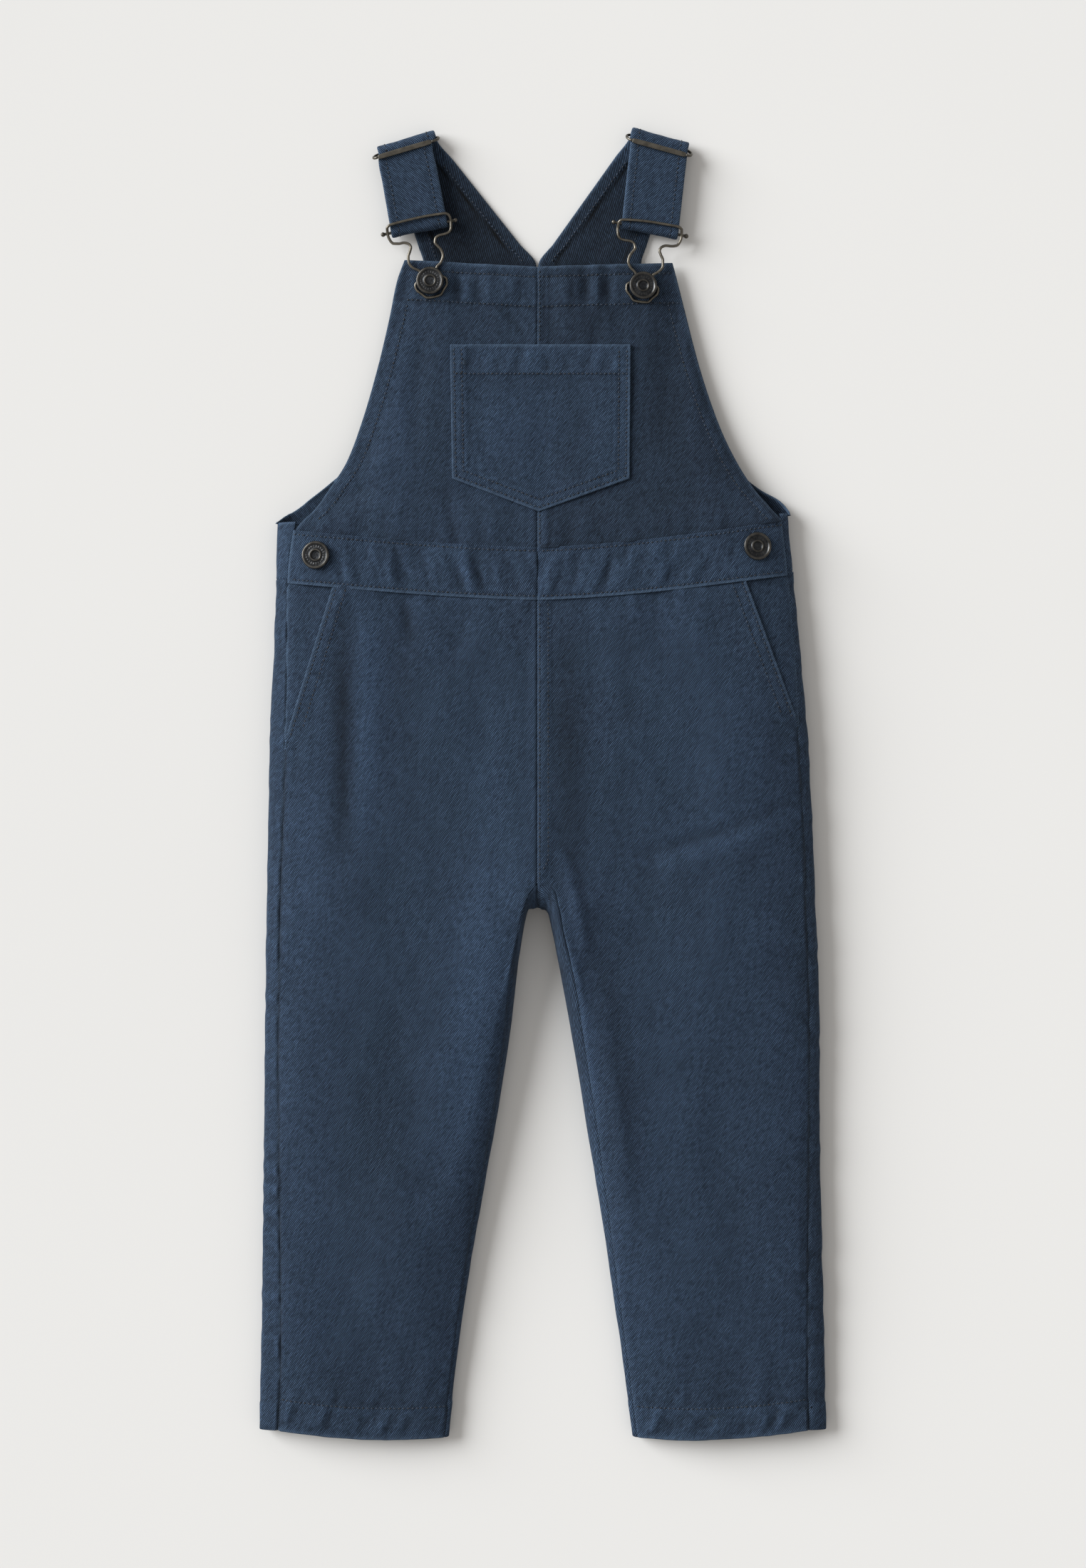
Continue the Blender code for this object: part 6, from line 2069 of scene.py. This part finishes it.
@dataclass
class Strap:
    """Shoulder strap: up the back, over the slider's wire, down the front, round the
    buckle's pin and back up behind itself."""

    side: Side
    rows: int = 330
    across_count: int = 26
    inset: float = 5.0
    hem: float = 9.0

    def ends(self) -> tuple[Array, Array]:
        """Outer and inner edge of the strap's middle layer, one point a named row.

        Straight stretches are lines between named places, and each fold is a half circle
        upright to the strap.

        Returns:
            Outer and inner edge points in mm.
        """
        s, back_z = STRAPS[self.side], STRAP_WALL / 2
        pairs = [((*s.seam_out, back_z), (*s.seam_in, back_z))]
        for t in np.linspace(0.0, 1.0, 7)[:-1]:
            outer = (np.add(s.seam_out, (0.0, 6.0)) * (1 - t) + np.array(s.fold_out) * t
                     + (s.bow * 4 * t * (1 - t), 0.0))
            inner = np.array(s.vee) * (1 - t) + np.array(s.fold_in) * t
            pairs.append(((*outer, back_z), (*inner, back_z)))
        turn_sign = 1 if self.side is Side.LEFT else -1
        along = plan_direction(s.fold_out, s.fold_in)
        pairs += self.half_turn((s.fold_out, s.fold_in),
                                np.array([-along[1], along[0]]) * turn_sign,
                                (FRONT_LAYER + back_z) / 2, (FRONT_LAYER - back_z) / 2, False, 12)
        for t in (0.0, 0.33, 0.66, 0.9):
            pairs.append(self.front_pair(t, FRONT_LAYER))
        along = plan_direction(s.pin_out, s.pin_in)
        pairs += self.half_turn((s.pin_out, s.pin_in), np.array([along[1], -along[0]]) * turn_sign,
                                FRONT_LAYER - PIN_LAYER, PIN_LAYER, True, 10)
        for t in (0.12, 0.4, 0.74):
            pairs.append(self.front_pair(1 - t, FRONT_LAYER - 2 * PIN_LAYER))
        edges = np.array(pairs, float)
        return edges[:, 0], edges[:, 1]

    def front_pair(self, t: float, z: float) -> tuple[tuple[float, ...], tuple[float, ...]]:
        """Both ends of the strap on its front stretch, t from 0 at the fold to 1 at the pin.

        Args:
            t: Share of the way.
            z: Height over the floor.

        Returns:
            Outer and inner point.
        """
        s = STRAPS[self.side]
        outer = np.array(s.front_out) * (1 - t) + np.array(s.pin_out) * t
        inner = np.array(s.front_in) * (1 - t) + np.array(s.pin_in) * t
        return (*outer, z), (*inner, z)

    @staticmethod
    def half_turn(ends: tuple, outwards: Array, centre_z: float, radius: float, from_top: bool,
                  count: int) -> list:
        """Pairs of edge points of a half circle that bulges outwards.

        Args:
            ends: Both ends of the strap where the turn begins.
            outwards: Unit vector the turn bulges along.
            centre_z: Height of the turn's centre.
            radius: The turn's radius.
            from_top: Whether it starts on its upper side.
            count: How many pairs.

        Returns:
            The pairs in order.
        """
        angle = np.linspace(-np.pi / 2, np.pi / 2, count + 1) * (-1 if from_top else 1)
        return [tuple((end[0] + outwards[0] * radius * math.cos(a),
                       end[1] + outwards[1] * radius * math.cos(a),
                       centre_z + radius * math.sin(a)) for end in ends) for a in angle]

    def frame(self) -> tuple[Array, Array, Array, Array]:
        """Middle line, half widths, unit across and unit normal at each dense row.

        Returns:
            The four arrays.
        """
        outer, inner = self.ends()
        middle = (outer + inner) / 2
        steps = np.linalg.norm(np.diff(middle, axis=0), axis=1)
        run = np.concatenate([[0.0], np.cumsum(np.maximum(steps, 1e-3))])
        at = np.linspace(0.0, run[-1], self.rows)
        outer, inner = glide(run, outer, at), glide(run, inner, at)
        middle, across = (outer + inner) / 2, (inner - outer) / 2
        half = np.linalg.norm(across, axis=1)
        normal = unit(np.cross(np.gradient(middle, axis=0), across))
        if normal[len(normal) // 12, 2] > 0:
            normal = -normal
        return middle, half, unit(across), normal

    def ridge(self, a: Array, half: Array, run: Array) -> Array:
        """Relief over a place across: rounded turned edges, dips at stitches and soft puckers.

        Args:
            a: Place across, -1 to 1.
            half: Half widths.
            run: Length run along the strap.

        Returns:
            Height over the flat strap.
        """
        near = half - np.abs(a)
        seed = 161 + self.side.sign
        height = 0.12 * bell(near - 1.4, 1.2) - 0.2 * bell(near - self.inset, 0.7)
        return (height + 0.14 * soft_noise(a, run, (6, 9), seed)
                + 0.4 * soft_noise(a, run, (8, 60), seed + 1) * ease(near / 4))

    def turning(self, a: Array, half: Array, run: Array) -> Array:
        """Step of the turned edges on the inner face of the back stretch, 1 on the turning."""
        return (1 - ease((half - np.abs(a) - self.hem) / 1.2)) * (1 - ease((run - 76) / 4))

    def make(self, finishes: Finishes) -> list[Piece]:
        """Build the strap as a flat tube with round edges, and its rows of stitches.

        Args:
            finishes: The garment's finishes.

        Returns:
            The strap and its stitches.
        """
        middle, half, across, normal = self.frame()
        run = run_along(middle)
        thick = STRAP_WALL / 2
        face = np.linspace(-1.0, 1.0, self.across_count)
        arc = np.radians(np.linspace(0, 180, 7)[1:-1])
        a = np.concatenate([np.outer(half - thick, face),
                            (half - thick)[:, None] + thick * np.sin(arc)[None],
                            np.outer(half - thick, face[::-1]),
                            -((half - thick)[:, None] + thick * np.sin(arc)[None])], axis=1)
        c = np.concatenate([np.ones(len(face)), np.cos(arc), -np.ones(len(face)),
                            -np.cos(arc)])[None] * np.ones((self.rows, 1))
        ends = ease(np.minimum(run, run[-1] - run) / 2.0)[:, None]
        step = self.turning(a, half[:, None], run[:, None]) * (c < 0)
        relief = (self.ridge(a, half[:, None], run[:, None]) + 0.45 * step) * np.abs(c) ** 4
        lift = c * (thick * (0.15 + 0.85 * ends) + relief * ends)
        points = (middle[:, None] + across[:, None] * a[..., None]
                  + normal[:, None] * lift[..., None])
        points[..., 2] = np.maximum(points[..., 2], 0.0)
        near = half[:, None] - np.abs(a)
        # Paler along both edges: wear, and a painted highlight on the rounded edges
        wear = 0.4 * bell(near, 1.0)
        weave = np.stack([500 + np.broadcast_to(a + 40 * (c < 0), a.shape),
                          100 + np.broadcast_to(run[:, None], a.shape)], axis=-1)
        # Painted shadow on the back stretch, which lies under the front stretch, a painted shade
        # line inside its turned edges, and a painted highlight on their step
        tone = ((-1.25 if self.side is Side.LEFT
                 else -1.05) * np.ones(a.shape) * (1 - ease((run[:, None] - 70) / 12)) + 0.08)
        tone = (tone - 0.7 * bell(near - self.hem - 1.2, 0.9) * (c < 0) * (run[:, None] < 78)
                + 0.25 * step)
        facing = (normal[:, None] * c[..., None]
                  + across[:, None] * (np.sign(a) * (1 - np.abs(c)))[..., None])
        cloth = add_surface("denim_strap_" + self.side.label, points, finishes.denim, weave, wear,
                            tone,
                            wrap_columns=True, facing=facing)
        rows = Stitching("stitches_strap_" + self.side.label, finishes.thread)
        for edge in (-1, 1):
            offset = edge * (half - self.hem + 1.0)
            depth = thick + self.ridge(offset, half, run) + 0.45
            back = (run > 7) & (run < 76)
            rows.along((middle + across * offset[:, None] - normal * depth[:, None])[back],
                       -normal[back])
            offset = edge * (half - self.inset)
            depth = thick + self.ridge(offset, half, run)
            front = (run > 86) & (run < run[-1] - 34)
            rows.along((middle + across * offset[:, None] + normal * depth[:, None])[front],
                       normal[front])
        stitches = rows.make()
        declare_cloth(cloth, np.concatenate([points, points[:, :1]], axis=1),
                      "strap_" + self.side.label)
        return [cloth, stitches]


def tube(path: Array, radius: float, closed: bool, sides: int = 14) -> Array:
    """Round wire along a path.

    Each ring is a circle across the path: its two axes are the level direction across
    the path and the one upright to both. An open wire ends in half balls.

    Args:
        path: Points of the path, one a row, in mm.
        radius: Radius of the wire in mm.
        closed: Whether the path is a loop.
        sides: Points round the wire.

    Returns:
        Grid of points.
    """
    if closed:
        tangent = unit(np.roll(path, -1, axis=0) - np.roll(path, 1, axis=0))
        size = np.full(len(path), radius)
    else:
        tangent = unit(np.gradient(path, axis=0))
        cap = np.radians([90, 60, 30])
        start = path[0] - tangent[0] * radius * np.sin(cap)[:, None]
        end = path[-1] + tangent[-1] * radius * np.sin(cap[::-1])[:, None]
        size = np.concatenate([radius * np.cos(cap), np.full(len(path), radius),
                               radius * np.cos(cap[::-1])])
        path = np.concatenate([start, path, end])
        tangent = np.concatenate([np.repeat(tangent[:1], 3, axis=0), tangent,
                                  np.repeat(tangent[-1:], 3, axis=0)])
    level = unit(np.cross(tangent, (0.0, 0.0, 1.0)))
    upright = np.cross(level, tangent)
    angle = np.linspace(0.0, 2 * np.pi, sides, endpoint=False)
    circle = (level[:, None] * np.cos(angle)[None, :, None]
              + upright[:, None] * np.sin(angle)[None, :, None])
    return path[:, None] + circle * size[:, None, None]


def turned(radii: Array, heights: Array, origin: Array, axis: Array, sides: int = 64,
           bumps: Array | None = None) -> Array:
    """Surface turned about an axis from a profile of radii and heights, with optional bumps.

    Args:
        radii: The profile's radii.
        heights: The profile's heights.
        origin: Point on the axis at height 0.
        axis: Unit vector.
        sides: Points round the axis.
        bumps: Heights to add, by profile point and side.

    Returns:
        Grid of points.
    """
    axis = unit(np.asarray(axis, float))
    first = unit(np.cross((0.0, 1.0, 0.0), axis) + 1e-9)
    second = np.cross(axis, first)
    angle = np.linspace(0.0, 2 * np.pi, sides, endpoint=False)
    circle = first * np.cos(angle)[:, None] + second * np.sin(angle)[:, None]
    rise_by = heights[:, None] + (0.0 if bumps is None else bumps)
    return (origin + circle[None] * radii[:, None, None]
            + axis * np.broadcast_to(rise_by, (len(radii), sides))[..., None])


@dataclass
class Hardware:
    """Strap metal and tack buttons in dark gunmetal."""

    form: Form
    wire: float = 0.85
    button_down: float = 38.8
    bib_buttons: dict[Side, tuple[float, float]] = field(default_factory=lambda: {
        Side.LEFT: (-68.4, 305.8), Side.RIGHT: (60.6, 302.8)})
    side_buttons: dict[Side, tuple[float, float]] = field(default_factory=lambda: {
        Side.LEFT: (-137.3, 138.4), Side.RIGHT: (129.5, 143.8)})
    loop: Table = Table("down half lift", (
        (0.0, 14.5, 2.3), (.3, 17.2, 2.3), (1.8, 19.2, 1.8), (5.4, 19.6, .1), (9.2, 18.9, 0),
        (11.4, 17.2, .1),
        (12.1, 14.2, .3), (12.2, 11.2, .5), (13.6, 8.4, .8), (16, 7.5, 1.1), (18.4, 8.6, 1.3),
        (21.4, 10.2, 1.5),
        (25, 10.6, 1.6), (28.4, 8.8, 1.6), (31.2, 5.4, 1.6), (33.6, 4.3, 1.6), (36.4, 6.6, 1.6),
        (39.4, 9.6, 1.6),
        (42, 9.4, 1.6), (45.2, 6.8, 1.6), (48, 4, 1.6)))

    def finish(self, obj: Piece, node: str) -> Piece:
        """Ride the piece and let it stand for its CAD node, which is hidden.

        Args:
            obj: The piece.
            node: Name of its CAD node.

        Returns:
            The same piece.
        """
        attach(obj, "root")
        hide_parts(node)
        return obj

    def buckle(self, side: Side, finishes: Finishes) -> Piece:
        """Closed bent wire: a bar over the strap, down both sides, and round the button's neck.

        Args:
            side: Side of the garment.
            finishes: The garment's finishes.

        Returns:
            The buckle.
        """
        s = STRAPS[side]
        pin = (np.array(s.pin_out) + np.array(s.pin_in)) / 2
        down = plan_direction(tuple(pin), self.bib_buttons[side])
        top = np.array(self.bib_buttons[side]) - down * self.button_down
        sideways = np.array([-down[1], down[0]])
        steps = np.array(self.loop.rows)
        right = top + down * steps[:, :1] + sideways * steps[:, 1:2]
        left = top + down * steps[:, :1] - sideways * steps[:, 1:2]
        lift = 8.3 + steps[:, 2]
        cloth = np.maximum(self.form.bib_height(side, right[:, 0], right[:, 1]),
                           self.form.bib_height(side, left[:, 0], left[:, 1]))
        lift = np.where(right[:, 1] < 322.3, np.maximum(lift, cloth + 1.1), lift)
        path = np.concatenate([np.column_stack([right, lift]), np.column_stack([left, lift])[::-1]])
        ring = np.concatenate([path[-3:], path, path[:3]])
        run = run_along(ring)
        at = np.linspace(run[3], run[-3], 341)[:-1]
        points = tube(glide(run, ring, at), self.wire, True)
        # Brass bared all round the wire and more on its upper half: wear, and a painted highlight
        # on the top of the wire
        wear = np.broadcast_to(0.75 + 0.4 * np.sin(np.linspace(0, 2 * np.pi, 14, endpoint=False)),
                               points.shape[:2])
        middle = glide(run, ring, at)[:, None]
        obj = add_surface("wire_buckle_" + side.label, points, finishes.metal, wear=wear,
                          wrap_rows=True,
                          wrap_columns=True, facing=points - middle)
        return self.finish(obj, "buckle_" + side.label)

    def slider(self, side: Side, finishes: Finishes) -> list[Piece]:
        """Flat bar over the strap, and the wire that runs inside the fold.

        Args:
            side: Side of the garment.
            finishes: The garment's finishes.

        Returns:
            The bar and the wire.
        """
        s = STRAPS[side]
        along = plan_direction(s.front_out, s.front_in)
        up_strap = np.array([-along[1], along[0]]) * (1 if side is Side.LEFT else -1)
        middle = (np.array(s.front_out) + np.array(s.front_in)) / 2 + up_strap * 1.2
        bar_z = FRONT_LAYER + STRAP_WALL / 2 + 0.3 + 0.65
        t = np.linspace(-1.0, 1.0, 60)
        t = np.sign(t) * (1 - (1 - np.abs(t)) ** 1.6)
        size = (1 - np.abs(t) ** 10) ** 0.2
        angle = np.linspace(0.0, 2 * np.pi, 28, endpoint=False)
        square = (np.abs(np.cos(angle)) ** 4 + np.abs(np.sin(angle)) ** 4) ** -0.25
        width, height = 1.55 * np.cos(angle) * square, 0.68 * np.sin(angle) * square
        axes = np.array([[*along, 0.0], [*up_strap, 0.0], [0.0, 0.0, 1.0]])
        local = np.stack(np.broadcast_arrays(17.0 * t[:, None], size[:, None] * width,
                                             size[:, None] * height), axis=-1)
        points = np.array([*middle, bar_z]) + local @ axes
        centre = np.array([*middle, bar_z]) + np.stack([17.0 * t, 0 * t, 0 * t], axis=1) @ axes
        bar = add_surface("slider_plate_" + side.label, points, finishes.metal,
                          wear=np.full(points.shape[:2], 0.95), wrap_columns=True, poles=True,
                          facing=points - centre[:, None])
        self.finish(bar, "slider_bar_" + side.label)
        fold_z = (FRONT_LAYER + STRAP_WALL / 2) / 2
        fold_along = plan_direction(s.fold_out, s.fold_in)
        fold_middle = (np.array(s.fold_out) + np.array(s.fold_in)) / 2
        fold_half = np.linalg.norm(np.subtract(s.fold_in, s.fold_out)) / 2
        arms, t = [], np.linspace(0.0, 1.0, 40)[:, None]
        for sign in (-1, 1):
            a = np.array([*(middle + along * sign * 17.6), bar_z])
            b = np.array([*(middle + along * sign * 21.0), bar_z - 1.0])
            c = np.array([*(fold_middle + fold_along * sign * (fold_half + 4.0)), fold_z])
            d = np.array([*(fold_middle + fold_along * sign * (fold_half - 2.0)), fold_z])
            arms.append((1 - t) ** 3 * a + 3 * t * (1 - t) ** 2 * b + 3 * t ** 2 * (1 - t) * c
                        + t ** 3 * d)
        path = even(np.concatenate([arms[0], arms[1][::-1]]), 150)
        points = tube(path, self.wire, False)
        centre = np.concatenate([np.repeat(path[:1], 3, axis=0), path,
                                 np.repeat(path[-1:], 3, axis=0)])
        wire = add_surface("slider_loop_" + side.label, points, finishes.metal,
                           wear=np.full(points.shape[:2], 0.8), wrap_columns=True, poles=True,
                           facing=points - centre[:, None])
        return [bar, self.finish(wire, "slider_wire_" + side.label)]

    def pin(self, side: Side, finishes: Finishes) -> Piece:
        """Cross pin with ball ends, through the strap's loop.

        Args:
            side: Side of the garment.
            finishes: The garment's finishes.

        Returns:
            The pin.
        """
        s = STRAPS[side]
        along = plan_direction(s.pin_out, s.pin_in)
        half = np.linalg.norm(np.subtract(s.pin_in, s.pin_out)) / 2 + 3.6
        angle = np.radians(np.linspace(0, 138, 12))
        ball_h, ball_r = half + 1.4 * (1 + np.cos(angle)), 1.45 * np.sin(angle)
        heights = np.concatenate([ball_h, np.linspace(ball_h[-1] - 0.3, -ball_h[-1] + 0.3, 20),
                                  -ball_h[::-1]])
        radii = np.concatenate([ball_r, np.full(20, PIN_RADIUS), ball_r[::-1]])
        middle = np.array([*((np.array(s.pin_out) + np.array(s.pin_in)) / 2),
                           FRONT_LAYER - PIN_LAYER])
        points = turned(radii, heights, middle, (*along, 0.0), 20)
        centre = middle + np.array([*along, 0.0]) * heights[:, None] * 0.98
        obj = add_surface("cross_pin_" + side.label, points, finishes.metal,
                          wear=np.full(points.shape[:2], 0.8),
                          wrap_columns=True, poles=True, facing=points - centre[:, None])
        return self.finish(obj, "buckle_pin_" + side.label)

    def button(self, name: str, side: Side, place: tuple[float, float], height: HeightOf,
               shank: float,
               finishes: Finishes) -> Piece:
        """Tack button: rolled rim, a ring of plain dots, a raised ring and a hollow middle.

        The head is a profile read on the smooth curve along its own length. The dots are
        bells of the radius times a power of a cosine round the head.

        Args:
            name: Piece name; the CAD node is the same with its last word kept.
            side: Half of the garment.
            place: Plan point.
            height: Height function of the cloth.
            shank: Length of the shank in mm.
            finishes: The garment's finishes.

        Returns:
            The object.
        """
        x, y = np.float64(place[0]), np.float64(place[1])
        step = 0.5
        slope_x = (height(side, x + step, y) - height(side, x - step, y)) / (2 * step)
        slope_y = (height(side, x, y + step) - height(side, x, y - step)) / (2 * step)
        normal = unit(np.array([-slope_x, -slope_y, 1.0], float))
        seat = np.array([x, y, float(height(side, x, y))]) + normal * 0.3
        profile = np.array([(0.0, 1.1), (1.4, 1.12), (2.3, 1.2), (2.7, 1.75), (3.1, 2.05),
                            (3.6, 2.0), (4.0, 1.55), (4.4, 1.38),
                            (5.4, 1.36), (6.3, 1.42), (6.8, 1.78), (7.3, 2.06), (7.9, 2.0),
                            (8.35, 1.62), (8.55, 1.1),
                            (8.4, 0.5), (7.8, 0.05), (5.0, 0.0), (2.4, -0.05), (2.4, -shank),
                            (0.0, -shank)])
        run = run_along(profile)
        dense = glide(run, profile, np.linspace(0.0, run[-1], 110))
        radii, heights = dense[:, 0], dense[:, 1]
        angle = np.linspace(0.0, 2 * np.pi, 88, endpoint=False)
        ring = bell(radii - 5.35, 0.62) * (heights > 1.0)
        dots = 0.26 * ring[:, None] * (0.5 + 0.5 * np.cos(22 * angle)) ** 1.5
        grain = 0.03 * np.sin(5 * angle + radii[:, None] * 3)
        grain *= ((heights > 0.4) & (radii > 0.5))[:, None]
        points = turned(radii, heights + shank, seat, normal, 88, dots + grain)
        wear = np.broadcast_to((bell(heights - 2.0, 0.25) * 0.45)[:, None], points.shape[:2]) + dots
        centre = seat + normal * (heights + shank)[:, None] * 0.5
        obj = add_surface(name, points, finishes.metal, wear=wear, wrap_columns=True, poles=True,
                          facing=points - centre.mean(axis=0))
        return obj

    def make(self, finishes: Finishes) -> list[Piece]:
        """Build all the metal.

        Args:
            finishes: The garment's finishes.

        Returns:
            All the metal pieces.
        """
        made = []
        for side in Side:
            made.append(self.buckle(side, finishes))
            made += self.slider(side, finishes)
            made.append(self.pin(side, finishes))
            bib = self.button("tack_bib_" + side.label, side, self.bib_buttons[side],
                              self.form.bib_height, 3.2, finishes)
            made.append(self.finish(bib, "bib_button_" + side.label))
            hip = self.button("tack_side_" + side.label, side, self.side_buttons[side],
                              self.form.front_height, 1.0, finishes)
            made.append(self.finish(hip, "side_button_" + side.label))
        return made


@dataclass
class Studio:
    """Pale floor, soft light from the upper left and the camera straight above."""

    floor_half: float = 3.0
    floor_z: float = -0.0003
    eye: tuple[float, float, float] = (0.00007, -0.00135, 1.8)
    lens: float = 67.55
    sun: float = 4.5
    sun_tilt: float = 65.0
    sun_turn: float = 24.0
    room: float = 0.44

    def floor(self) -> Piece:
        """Build the board that the garment lies on.

        Returns:
            The board.
        """
        half, z = self.floor_half, self.floor_z
        corners = [(-half, -half, z), (half, -half, z), (half, half, z), (-half, half, z)]
        floor = link_mesh("floor", corners, [(0, 1, 2, 3)], PaintedBoard().make("painted_board"))
        return floor

    def window(self) -> None:
        """Broad soft daylight from the upper left, so low that every pucker shows."""
        light = bpy.data.lights.new("window", "SUN")
        light.energy, light.angle, light.color = self.sun, math.radians(40.0), (0.965, 0.985, 1.0)
        obj = bpy.data.objects.new("window", light)
        obj.rotation_euler = (0.0, math.radians(-self.sun_tilt), math.radians(-self.sun_turn))
        bpy.context.scene.collection.objects.link(obj)

    def make(self) -> None:
        """Build the floor, lights, world and camera."""
        self.floor()
        self.window()
        world = bpy.data.worlds.new("room")
        world.use_nodes = True
        world.node_tree.nodes["Background"].inputs["Color"].default_value = (1.0, 0.972, 0.94, 1.0)
        world.node_tree.nodes["Background"].inputs["Strength"].default_value = self.room
        bpy.context.scene.world = world
        camera = bpy.data.cameras.new("camera")
        camera.lens, camera.sensor_width, camera.sensor_fit = self.lens, 36.0, "AUTO"
        camera.clip_end = 20.0
        obj = bpy.data.objects.new("camera", camera)
        obj.location = self.eye
        bpy.context.scene.collection.objects.link(obj)
        bpy.context.scene.camera = obj
        bpy.context.scene.view_settings.view_transform = "Standard"


def main() -> None:
    """Build every piece in order and report it."""
    logging.basicConfig(level=logging.INFO, format="%(name)s: %(message)s")
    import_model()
    form = Form()
    finishes = Finishes(DenimTwill().make("washed_cotton_denim"),
                        SewingThread().make("polyester_sewing_thread"),
                        GunmetalPlate().make("gunmetal_plated_brass"))
    Studio().make()
    pieces: list[Piece] = []
    for side in Side:
        for part in (TrouserFront(form, side), TrouserBack(form, side), PocketFacing(form, side),
                     FrontBand(form, side), BibHalf(form, side), Strap(side)):
            pieces += part.make(finishes)
    for part in (BackBand(form), BibPocket(form), BackBib(form), Hardware(form)):
        pieces += part.make(finishes)
    for piece in pieces:
        LOG.info("%s has %d faces", piece.name, len(piece.data.polygons))


if __name__ == "__main__":
    main()
